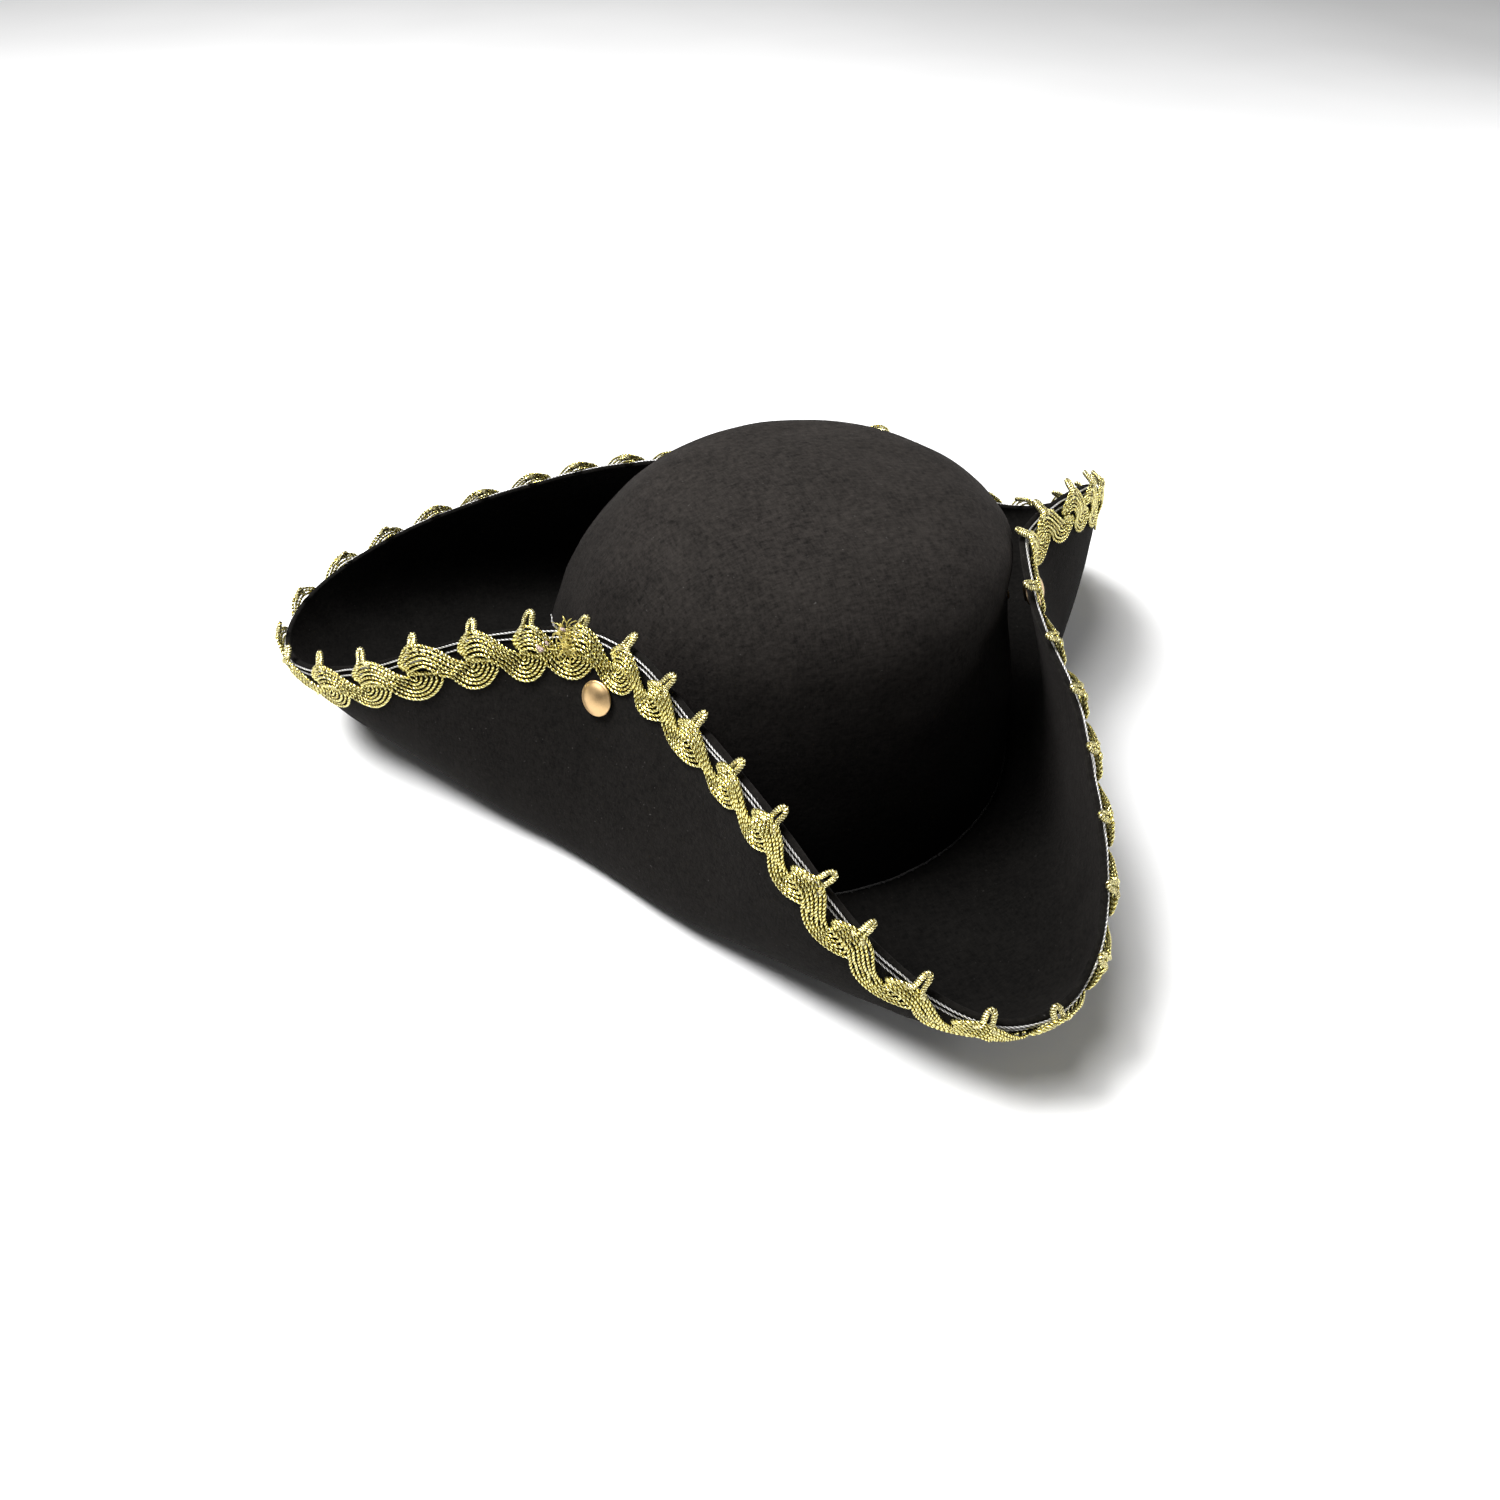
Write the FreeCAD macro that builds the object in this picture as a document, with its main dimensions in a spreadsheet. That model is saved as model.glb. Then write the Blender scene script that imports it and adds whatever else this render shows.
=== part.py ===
import FreeCAD, Part
import math
import os
from FreeCAD import Vector, Placement, Rotation
import Sketcher

# Tricorn pirate hat. Millimetres. +Z up, -Y is the front corner, the origin is the
# centre of the head opening on the plane of the crown's lower edge.
# Azimuth f is counted in degrees from the front corner (-Y) towards -X:
# x = -r sin f, y = -r cos f.

doc = FreeCAD.newDocument("pirate_hat")
sheet = doc.addObject("Spreadsheet::Sheet", "dims")

D = {}
cells = []


def cell(alias, value):
    D[alias] = value
    cells.append((alias, value))


cell("crown_rad", 99.0)        # outer radius of the crown's lower edge
cell("crown_height", 124.0)
cell("side_arc", 230.0)        # profile radii of the crown: side, shoulder, top
cell("shoulder_arc", 50.0)
cell("top_arc", 197.0)
cell("felt_thick", 2.0)
cell("brim_gap", 1.2)          # between the crown's lower edge and the brim's root
cell("brim_lift", 1.6)         # height of the brim's middle surface at its root
cell("sector_gap", 0.7)        # cut between a flap and a corner, along the rim's root
cell("bend_out", 12.0)         # from the brim's root to the fold line of a turned-up flap
cell("band_thick", 0.9)        # sweatband
cell("band_low", 1.0)
cell("band_high", 33.0)
cell("band_off", 0.35)
cell("braid_top", 5.2)         # distances from the rim, over the felt's surface
cell("braid_bottom", 15.4)
cell("braid_thick", 1.5)
cell("braid_off", 0.35)
cell("thread_width", 1.0)
cell("thread_one", 1.5)
cell("thread_two", 3.8)
cell("picot_rad", 4.3)
cell("picot_wire", 0.65)
cell("picot_off", 2.95)
cell("braid_repeat", 22.9)
cell("cap_rad", 6.25)
cell("cap_height", 2.6)
cell("cap_rim", 0.7)
cell("shank_rad", 1.6)
cell("socket_rad", 5.6)
cell("socket_height", 2.4)
cell("socket_hole", 2.35)
cell("stud_rad", 5.2)
cell("stud_base", 1.0)
cell("stud_head", 2.0)
cell("stud_height", 2.9)
cell("post_rad", 4.8)
cell("post_thick", 0.9)
cell("snap_down", 22.0)        # snap centre below the rim
cell("snap_turn", 63.5)        # azimuth of the side snaps
cell("stitch_rad", 0.3)
cell("stitch_len", 3.2)
cell("seam_stitches", 96)
cell("band_stitches", 84)
cell("left_from", 33.0)        # azimuths of the cuts between flaps and corners
cell("left_to", 87.0)
cell("back_from", 157.0)
cell("back_to", 203.0)
cell("right_from", 273.0)
cell("right_to", 327.0)

# the rim every 7.5 degrees: radius and height of the felt's edge
rim_r = [186.0, 171.1, 152.3, 133.5, 116.0, 102.7, 94.6, 89.4, 86.0, 87.2, 93.7, 105.8,
         125.8, 156.1, 185.5, 200.4, 201.0, 191.7, 179.4, 164.5, 145.4, 124.7, 106.0, 93.3,
         88.5, 90.1, 96.9, 112.3, 136.1, 161.9, 180.4, 190.4, 198.6, 202.3, 195.3, 173.3,
         142.3, 115.4, 98.7, 91.2, 90.1, 93.3, 100.2, 111.2, 127.1, 147.9, 169.5, 185.0]
rim_z = [38.7, 45.7, 63.7, 80.5, 85.3, 86.8, 91.7, 96.4, 97.5, 96.9, 95.3, 91.2,
         81.7, 64.6, 48.6, 42.6, 43.6, 47.5, 51.6, 56.3, 63.5, 71.4, 78.0, 82.5,
         84.7, 86.1, 86.8, 82.7, 72.7, 61.0, 44.8, 27.1, 20.6, 27.5, 44.8, 67.9,
         87.8, 96.9, 98.2, 98.8, 99.0, 94.6, 88.1, 83.5, 77.4, 65.6, 51.7, 41.7]
# how far the brim runs out before it turns up, every 15 degrees from the front to the back
fold_q = [76.7, 66.0, 51.6, 34.5, 27.3, 39.7, 65.1, 82.8, 94.3, 95.8, 83.0, 65.7, 54.4]
for i in range(48):
    cell("rim_rad_%03d" % (i * 75), rim_r[i])
    cell("rim_hgt_%03d" % (i * 75), rim_z[i])
for i in range(13):
    cell("fold_out_%03d" % (i * 15), fold_q[i])

for row, (alias, value) in enumerate(cells, 1):
    sheet.set("A%d" % row, alias)
    sheet.set("B%d" % row, str(value))
    sheet.setAlias("B%d" % row, alias)
doc.recompute()
for alias in list(D):
    D[alias] = float(getattr(sheet, alias))

made = []          # the sub-parts, in the order they are exported


# ---------------------------------------------------------------- the felt's shape
def spline(xs, ys):
    """Interpolating cubic through (x, y), as a function."""
    c = Part.BSplineCurve()
    c.interpolate(Points=[Vector(x, y, 0) for x, y in zip(xs, ys)],
                  Parameters=[float(x) for x in xs])
    return lambda x: c.value(x).y


def around(name, count, step):
    xs, ys = [], []
    for i in range(-4, count + 5):
        xs.append(i * step)
        ys.append(D[name % (int(round(((i % count) * step) * 10)))])
    return spline(xs, ys)


rim_radius = around("rim_rad_%03d", 48, 7.5)
rim_height = around("rim_hgt_%03d", 48, 7.5)
fx = [i * 15.0 for i in range(-3, 16)]
fy = [D["fold_out_%03d" % (abs(i) * 15 if i <= 12 else (24 - i) * 15)] for i in range(-3, 16)]
fold_half = spline(fx, fy)


def fold_out(f):
    f = f % 360.0
    return fold_half(f if f <= 180 else 360 - f)


def section(f, n=40):
    """The felt's middle line in the vertical plane at azimuth f, as [(r, z)] from root to rim."""
    f = f % 360.0
    r, z = rim_radius(f), rim_height(f)
    r0 = D["crown_rad"] + D["brim_gap"] + D["felt_thick"] / 2
    z0 = D["brim_lift"]
    r1 = r0 + fold_out(f)
    out = []
    for i in range(n + 1):
        t = i / n
        out.append(((1 - t) ** 2 * r0 + 2 * t * (1 - t) * r1 + t * t * r,
                    (1 - t) ** 2 * z0 + 2 * t * (1 - t) * z0 + t * t * z))
    return out


def lengths(line):
    out = [0.0]
    for a, b in zip(line, line[1:]):
        out.append(out[-1] + math.hypot(b[0] - a[0], b[1] - a[1]))
    return out


def at(f, d):
    """Point (r, z) and tangent (tr, tz) of the middle line, d mm before the rim (negative beyond)."""
    line = section(f)
    cum = lengths(line)
    s = cum[-1] - d
    k = 1
    while k < len(cum) - 1 and cum[k] < s:
        k += 1
    a, b = line[k - 1], line[k]
    u = (s - cum[k - 1]) / (cum[k] - cum[k - 1])
    tr, tz = b[0] - a[0], b[1] - a[1]
    m = math.hypot(tr, tz)
    return a[0] + u * (b[0] - a[0]), a[1] + u * (b[1] - a[1]), tr / m, tz / m


def place(f, r, z):
    a = math.radians(f)
    return Vector(-r * math.sin(a), -r * math.cos(a), z)


def frame_at(f, d):
    """Point on the middle surface, unit direction to the rim, along the rim, and outward."""
    r, z, tr, tz = at(f, d)
    p = place(f, r, z)
    a = math.radians(f)
    up = Vector(-tr * math.sin(a), -tr * math.cos(a), tz)
    rb, zb, _, _ = at(f + 0.5, d)
    ra, za, _, _ = at(f - 0.5, d)
    along = place(f + 0.5, rb, zb) - place(f - 0.5, ra, za)
    n = up.cross(along)
    n.normalize()
    flat = Vector(-tz * math.sin(a), -tz * math.cos(a), -tr)
    if n.dot(flat) < 0:
        n = n * -1
    along = n.cross(up)
    along.normalize()
    return p, up, along, n, abs(n.dot(flat))


def ribbon_at(f, d_low, d_high, n_in, n_out):
    """A closed section in the plane at azimuth f: between two distances from the rim and two
    distances from the middle surface (outwards positive). It follows the felt's curve."""
    rows = []
    steps = 4 if abs(d_low - d_high) > 3 else 1
    for n in (n_in, n_out):
        row = []
        for i in range(steps + 1):
            d = d_low + (d_high - d_low) * i / steps
            _, _, _, _, c = frame_at(f, d)
            r, z, tr, tz = at(f, d)
            k = n / max(c, 0.45)
            row.append(place(f, r + tz * k, z - tr * k))
        rows.append(row)
    low, high = rows

    def edge(row):
        if len(row) == 2:
            return Part.makeLine(row[0], row[1])
        c = Part.BSplineCurve()
        c.interpolate(row)
        return c.toShape()

    return Part.Wire([edge(low), Part.makeLine(low[-1], high[-1]),
                      edge(high).reversed(), Part.makeLine(high[0], low[0])])


def stations(f0, f1, step=4.0):
    n = max(2, int(math.ceil((f1 - f0) / step)))
    return [f0 + (f1 - f0) * i / n for i in range(n + 1)]


def strip(name, f0, f1, d_low, d_high, n_in, n_out):
    """A solid ribbon that lies on the felt, lofted through sections at azimuths f0 to f1."""
    wires = []
    for k, f in enumerate(stations(f0, f1)):
        s = doc.addObject("Part::Feature", "%s_section_%02d" % (name, k))
        s.Shape = ribbon_at(f, d_low, d_high, n_in, n_out)
        wires.append(s)
    loft = doc.addObject("Part::Loft", name)
    loft.Sections = wires
    loft.Solid = True
    loft.Ruled = False
    return loft


def felt(name, f0, f1, start=0.0, stop=None, steps=8):
    """A sector of the brim, from start to stop mm after its root (to the rim if stop isn't
    given): thick felt lofted through curved sections."""
    t = D["felt_thick"] / 2
    wires = []
    for k, f in enumerate(stations(f0, f1, 4.0)):
        total = lengths(section(f))[-1]
        last = total if stop is None else stop
        ins, outs = [], []
        for i in range(steps + 1):
            d = total - (start + (last - start) * i / steps)
            _, _, _, _, c = frame_at(f, d)
            r, z, tr, tz = at(f, d)
            h = t / max(c, 0.45)
            ins.append(place(f, r - tz * h, z + tr * h))
            outs.append(place(f, r + tz * h, z - tr * h))
        a = Part.BSplineCurve()
        a.interpolate(ins)
        b = Part.BSplineCurve()
        b.interpolate(outs)
        s = doc.addObject("Part::Feature", "%s_section_%02d" % (name, k))
        s.Shape = Part.Wire([a.toShape(), Part.makeLine(ins[-1], outs[-1]),
                             b.toShape().reversed(), Part.makeLine(outs[0], ins[0])])
        wires.append(s)
    loft = doc.addObject("Part::Loft", name)
    loft.Sections = wires
    loft.Solid = True
    loft.Ruled = False
    return loft


# ---------------------------------------------------------------- turned pieces
def origin_plane(body, role):
    for o in body.Origin.OriginFeatures:
        if getattr(o, "Role", "") == role:
            return o
    raise RuntimeError(role)


def sketch_on(body, name, role="XZ_Plane"):
    sk = body.newObject("Sketcher::SketchObject", name)
    sk.AttachmentSupport = [(origin_plane(body, role), "")]
    sk.MapMode = "FlatFace"
    return sk


def polygon(sk, pts):
    """A closed profile; each point is ((x, expression), (y, expression))."""
    n = len(pts)
    for i in range(n):
        a, b = pts[i], pts[(i + 1) % n]
        sk.addGeometry(Part.LineSegment(Vector(a[0][0], a[1][0], 0), Vector(b[0][0], b[1][0], 0)), False)
    for i in range(n):
        sk.addConstraint(Sketcher.Constraint("Coincident", i, 2, (i + 1) % n, 1))
    for i, p in enumerate(pts):
        for axis, kind, (v, e) in ((-2, "DistanceX", p[0]), (-1, "DistanceY", p[1])):
            if e is None:
                sk.addConstraint(Sketcher.Constraint("PointOnObject", i, 1, axis))
            else:
                c = sk.addConstraint(Sketcher.Constraint(kind, -1, 1, i, 1, v))
                sk.setExpression("Constraints[%d]" % c, e)


ZERO = (0.0, None)


def dim(alias):
    return (D[alias], "dims." + alias)


def turned(name, pts):
    body = doc.addObject("PartDesign::Body", name)
    sk = sketch_on(body, name + "_profile")
    polygon(sk, pts)
    rev = body.newObject("PartDesign::Revolution", name + "_turn")
    rev.Profile = sk
    rev.ReferenceAxis = (sk, ["V_Axis"])
    rev.Angle = 360.0
    body.Tip = rev
    return body


def turn_about(point, direction):
    """A placement that takes +Z to a direction, at a point."""
    return Placement(point, Rotation(Vector(0, 0, 1), direction))


# ---------------------------------------------------------------- crown
def tangent_points(less):
    """Where the crown's three profile arcs meet, for the profile that lies less mm inside."""
    R, H = D["crown_rad"], D["crown_height"]
    r1, r2, r3 = D["side_arc"], D["shoulder_arc"], D["top_arc"]
    c1, c3 = (R - r1, 0.0), (0.0, H - r3)
    dx, dz = c3[0] - c1[0], c3[1] - c1[1]
    L = math.hypot(dx, dz)
    a, b = r1 - r2, r3 - r2
    x = (L * L + a * a - b * b) / (2 * L)
    y = math.sqrt(max(a * a - x * x, 0))
    ux, uz = dx / L, dz / L
    best = None
    for s in (1, -1):
        c = (c1[0] + ux * x - uz * y * s, c1[1] + uz * x + ux * y * s)
        if best is None or c[0] + c[1] > best[0] + best[1]:
            best = c
    c2 = best
    q1 = math.atan2(c2[1] - c1[1], c2[0] - c1[0])
    q2 = math.atan2(c2[1] - c3[1], c2[0] - c3[0])
    return c1, c2, c3, q1, q2, r1 - less, r2 - less, r3 - less


def crown_profile(sk, less, less_text):
    """Side arc, shoulder arc and top arc, tangent to each other, closed by the axis and the base."""
    c1, c2, c3, q1, q2, r1, r2, r3 = tangent_points(less)
    R, H = D["crown_rad"] - less, D["crown_height"] - less

    def arc(c, r, a0, a1):
        return Part.ArcOfCircle(Part.Circle(Vector(c[0], c[1], 0), Vector(0, 0, 1), r), a0, a1)

    sk.addGeometry(arc(c1, r1, 0.0, q1), False)
    sk.addGeometry(arc(c2, r2, q1, q2), False)
    sk.addGeometry(arc(c3, r3, q2, math.pi / 2), False)
    sk.addGeometry(Part.LineSegment(Vector(0, H, 0), Vector(0, 0, 0)), False)
    sk.addGeometry(Part.LineSegment(Vector(0, 0, 0), Vector(R, 0, 0)), False)
    C = Sketcher.Constraint
    sk.addConstraint(C("Tangent", 0, 2, 1, 1))
    sk.addConstraint(C("Tangent", 1, 2, 2, 1))
    sk.addConstraint(C("Coincident", 2, 2, 3, 1))
    sk.addConstraint(C("Coincident", 3, 2, 4, 1))
    sk.addConstraint(C("Coincident", 4, 2, 0, 1))
    sk.addConstraint(C("Coincident", 3, 2, -1, 1))
    sk.addConstraint(C("PointOnObject", 3, 1, -2))
    sk.addConstraint(C("PointOnObject", 4, 2, -1))
    sk.addConstraint(C("PointOnObject", 0, 3, -1))
    sk.addConstraint(C("PointOnObject", 2, 3, -2))
    for kind, args, value, text in (
            ("DistanceX", (-1, 1, 4, 2), R, "dims.crown_rad"),
            ("DistanceY", (-1, 1, 3, 1), H, "dims.crown_height"),
            ("Radius", (0,), r1, "dims.side_arc"),
            ("Radius", (1,), r2, "dims.shoulder_arc"),
            ("Radius", (2,), r3, "dims.top_arc")):
        k = sk.addConstraint(C(kind, *args, value))
        sk.setExpression("Constraints[%d]" % k, text + less_text)


dome = doc.addObject("PartDesign::Body", "crown_felt")
outer = sketch_on(dome, "crown_outside")
crown_profile(outer, 0.0, "")
turn = dome.newObject("PartDesign::Revolution", "crown_turn")
turn.Profile = outer
turn.ReferenceAxis = (outer, ["V_Axis"])
turn.Angle = 360.0
doc.recompute()
full = dome.Shape.Volume
inner = sketch_on(dome, "crown_inside")
crown_profile(inner, D["felt_thick"], " - dims.felt_thick")
hollow = dome.newObject("PartDesign::Groove", "crown_hollow")
hollow.Profile = inner
hollow.ReferenceAxis = (inner, ["V_Axis"])
hollow.Angle = 360.0
dome.Tip = hollow
doc.recompute()
print("crown volume %.0f -> %.0f mm3" % (full, dome.Shape.Volume))


def crown_radius(z, less=0.0):
    """Radius and outward normal (nr, nz) of the crown's profile at height z."""
    c1, c2, c3, q1, q2, r1, r2, r3 = tangent_points(less)
    z12, z23 = c1[1] + r1 * math.sin(q1), c3[1] + r3 * math.sin(q2)
    c, r = (c1, r1) if z <= z12 else (c2, r2) if z <= z23 else (c3, r3)
    s = (z - c[1]) / r
    return c[0] + r * math.cos(math.asin(s)), math.cos(math.asin(s)), s


# sweatband: a thin ribbon inside the lower edge, parallel to the crown's side
band = doc.addObject("PartDesign::Body", "sweatband")
bsk = sketch_on(band, "sweatband_profile")
off = D["felt_thick"] + D["band_off"]
c1x = D["crown_rad"] - D["side_arc"]
ro = D["side_arc"] - off
ri = ro - D["band_thick"]
lo, hi = D["band_low"], D["band_high"]


def band_arc(r):
    return Part.ArcOfCircle(Part.Circle(Vector(c1x, 0, 0), Vector(0, 0, 1), r),
                            math.asin(lo / r), math.asin(hi / r))


bsk.addGeometry(band_arc(ro), False)
bsk.addGeometry(band_arc(ri), False)
for e in (0, 1):
    a, b = bsk.Geometry[0], bsk.Geometry[1]
    p = (a.StartPoint, b.StartPoint) if e == 0 else (a.EndPoint, b.EndPoint)
    bsk.addGeometry(Part.LineSegment(p[0], p[1]), False)
C = Sketcher.Constraint
for c in (C("Coincident", 2, 1, 0, 1), C("Coincident", 2, 2, 1, 1), C("Coincident", 3, 1, 0, 2),
          C("Coincident", 3, 2, 1, 2), C("Coincident", 0, 3, 1, 3), C("Horizontal", 2),
          C("Horizontal", 3), C("PointOnObject", 0, 3, -1)):
    bsk.addConstraint(c)
for kind, args, value, text in (
        ("DistanceX", (0, 3, -1, 1), -c1x, "dims.side_arc - dims.crown_rad"),
        ("Radius", (0,), ro, "dims.side_arc - dims.felt_thick - dims.band_off"),
        ("Radius", (1,), ri, "dims.side_arc - dims.felt_thick - dims.band_off - dims.band_thick"),
        ("DistanceY", (-1, 1, 0, 1), lo, "dims.band_low"),
        ("DistanceY", (-1, 1, 0, 2), hi, "dims.band_high")):
    k = bsk.addConstraint(C(kind, *args, value))
    bsk.setExpression("Constraints[%d]" % k, text)
bt = band.newObject("PartDesign::Revolution", "sweatband_turn")
bt.Profile = bsk
bt.ReferenceAxis = (bsk, ["V_Axis"])
bt.Angle = 360.0
band.Tip = bt


# ---------------------------------------------------------------- stitches round the crown
def stitch_ring(name, radius, height, count_alias, slope):
    """A thread stitch, repeated round the crown."""
    one = doc.addObject("Part::Cylinder", name + "_one")
    one.setExpression("Radius", "dims.stitch_rad")
    one.setExpression("Height", "dims.stitch_len")
    doc.recompute()
    n = int(D[count_alias])
    ring = doc.addObject("Part::Feature", name)
    bits = []
    for i in range(n):
        s = one.Shape.copy()
        f = 360.0 * i / n
        a = math.radians(f)
        along = Vector(-math.cos(a), math.sin(a), 0)
        d = along + Vector(0, 0, slope)
        d.normalize()
        p = place(f, radius, height) - d * (D["stitch_len"] / 2)
        s.Placement = Placement(p, Rotation(Vector(0, 0, 1), d))
        bits.append(s)
    ring.Shape = Part.makeCompound(bits)
    return ring


# ---------------------------------------------------------------- snaps
def snap_frame(f):
    """Where a snap sits: on the flap (point, outward) and on the crown straight behind it."""
    p, up, along, n, _ = frame_at(f, D["snap_down"])
    # follow the flap's normal inwards until it meets the crown
    s = 0.0
    while s < 60:
        q = p - n * s
        r = math.hypot(q.x, q.y)
        if 0 < q.z < D["crown_height"] and r <= crown_radius(q.z)[0]:
            break
        s += 0.05
    r, nr, nz = crown_radius(q.z)
    a = math.atan2(-q.x, -q.y)
    cn = Vector(-nr * math.sin(a), -nr * math.cos(a), nz)
    cp = Vector(-r * math.sin(a), -r * math.cos(a), q.z)
    return p, n, cp, cn, s


def through(shape, point, direction, radius, reach):
    cyl = Part.makeCylinder(radius, 2 * reach, point - direction * reach, direction)
    return shape.cut(cyl)


def cap_points():
    """A shallow dome with a short rim, over a shank that goes through the felt."""
    R, H, e = D["cap_rad"], D["cap_height"], D["cap_rim"]
    pts = [(ZERO, ZERO), (dim("cap_rad"), ZERO), (dim("cap_rad"), dim("cap_rim"))]
    for k, a in ((0.94, 0.42), (0.82, 0.68), (0.6, 0.87), (0.32, 0.97)):
        pts.append(((R * k, "dims.cap_rad * %g" % k),
                    (e + (H - e) * a, "dims.cap_rim + (dims.cap_height - dims.cap_rim) * %g" % a)))
    pts.append((ZERO, dim("cap_height")))
    return pts


def socket_points():
    return [(dim("socket_hole"), ZERO), (dim("socket_rad"), ZERO),
            (dim("socket_rad"), (D["socket_height"] * 0.45, "dims.socket_height * 0.45")),
            ((D["socket_rad"] * 0.72, "dims.socket_rad * 0.72"),
             (D["socket_height"] * 0.75, "dims.socket_height * 0.75")),
            ((D["socket_rad"] * 0.66, "dims.socket_rad * 0.66"), dim("socket_height")),
            (dim("socket_hole"), dim("socket_height"))]


def stud_points():
    b, r, t, hh = D["stud_base"], D["stud_rad"], D["stud_head"], D["stud_height"]
    return [(ZERO, ZERO), (dim("stud_rad"), ZERO), (dim("stud_rad"), (b * 0.5, "dims.stud_base * 0.5")),
            ((r * 0.7, "dims.stud_rad * 0.7"), dim("stud_base")),
            ((t * 0.8, "dims.stud_head * 0.8"), dim("stud_base")),
            (dim("stud_head"), (b + (hh - b) * 0.55, "dims.stud_base + (dims.stud_height - dims.stud_base) * 0.55")),
            ((t * 0.72, "dims.stud_head * 0.72"), (b + (hh - b) * 0.9, "dims.stud_base + (dims.stud_height - dims.stud_base) * 0.9")),
            ((t * 0.3, "dims.stud_head * 0.3"), dim("stud_height")),
            (ZERO, dim("stud_height"))]


def post_points():
    return [(ZERO, ZERO), (dim("post_rad"), ZERO),
            (dim("post_rad"), (D["post_thick"] * 0.6, "dims.post_thick * 0.6")),
            ((D["post_rad"] * 0.8, "dims.post_rad * 0.8"), dim("post_thick")),
            (ZERO, dim("post_thick"))]


sides = {
    "left": (D["left_from"], D["left_to"], D["snap_turn"]),
    "back": (D["back_from"], D["back_to"], 180.0),
    "right": (D["right_from"], D["right_to"], 360.0 - D["snap_turn"]),
}
corners = {
    "front": (D["right_to"] - 360.0, D["left_from"]),
    "left": (D["left_to"], D["back_from"]),
    "right": (D["back_to"], D["right_from"]),
}
g = math.degrees(D["sector_gap"] / 2 / D["crown_rad"])

snaps = {}
crown_cut = None
for side, (f0, f1, fs) in sides.items():
    snaps[side] = snap_frame(fs)
    p, n, cp, cn, s = snaps[side]
    print("snap %s: flap (%.1f, %.1f, %.1f) normal (%.3f, %.3f, %.3f), crown (%.1f, %.1f, %.1f), gap %.1f"
          % (side, p.x, p.y, p.z, n.x, n.y, n.z, cp.x, cp.y, cp.z, s))

for side, (f0, f1, fs) in sides.items():
    fm = (f0 + f1) / 2
    tot = lengths(section(fm))[-1]
    r, z, tr, tz = at(fm, tot - D["bend_out"])
    # the axis lies on the felt's outer face, so that the lower edge clears the ledge
    q = place(fm, r + tz * 1.1, z - tr * 1.1)
    a = math.radians(fm)
    # turning about this axis by the right-hand rule folds the flap outwards
    print("fold %s: at (%.4f, %.4f, %.4f) axis (%.5f, %.5f, 0)" % (side, q.x, q.y, q.z, math.cos(a), -math.sin(a)))

# the crown with the three post holes
holes = []
for side in sides:
    p, n, cp, cn, s = snaps[side]
    h = doc.addObject("Part::Cylinder", "post_hole_" + side)
    h.setExpression("Radius", "dims.shank_rad + 0.1")
    h.Height = 10.0
    h.Placement = turn_about(cp - cn * 6, cn)
    holes.append(h)
hole_set = doc.addObject("Part::MultiFuse", "post_holes")
hole_set.Shapes = holes
crown = doc.addObject("Part::Cut", "crown")
crown.Base = dome
crown.Tool = hole_set
made.append(crown)
made.append(band)

t2 = D["felt_thick"] / 2
# brim corners, fixed to the crown
for side, (f0, f1) in corners.items():
    made.append(felt("brim_corner_" + side, f0 + g, f1 - g))
# turned-up flaps: a ledge fixed to the crown, and beyond the fold line the flap itself,
# with a hole for its cap's shank
for side, (f0, f1, fs) in sides.items():
    made.append(felt("brim_ledge_" + side, f0 + g, f1 - g, 0.0, D["bend_out"] - D["sector_gap"] / 2, 3))
    raw = felt("brim_felt_" + side, f0 + g, f1 - g, D["bend_out"] + D["sector_gap"] / 2)
    p, n, cp, cn, s = snaps[side]
    h = doc.addObject("Part::Cylinder", "cap_hole_" + side)
    h.setExpression("Radius", "dims.shank_rad + 0.1")
    h.Height = 8.0
    h.Placement = turn_about(p - n * 4, n)
    cut = doc.addObject("Part::Cut", "brim_flap_" + side)
    cut.Base = raw
    cut.Tool = h
    made.append(cut)


# ---------------------------------------------------------------- trim
def trim(tag, f0, f1):
    b0, b1 = D["braid_off"] + t2, D["braid_off"] + t2 + D["braid_thick"]
    made.append(strip("braid_" + tag, f0 + g, f1 - g, D["braid_bottom"], D["braid_top"], b0, b1))
    w = D["thread_width"]
    parts = []
    for k, alias in enumerate(("thread_one", "thread_two")):
        d = D[alias]
        parts.append(strip("thread_%d_%s" % (k, tag), f0 + g, f1 - g, d + w / 2, d - w / 2,
                           b0 + 0.3, b0 + 0.3 + w))
    both = doc.addObject("Part::Compound", "carrier_threads_" + tag)
    both.Links = parts
    made.append(both)


for side, (f0, f1) in corners.items():
    trim("corner_" + side, f0, f1)
for side, (f0, f1, fs) in sides.items():
    trim("flap_" + side, f0, f1)

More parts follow.
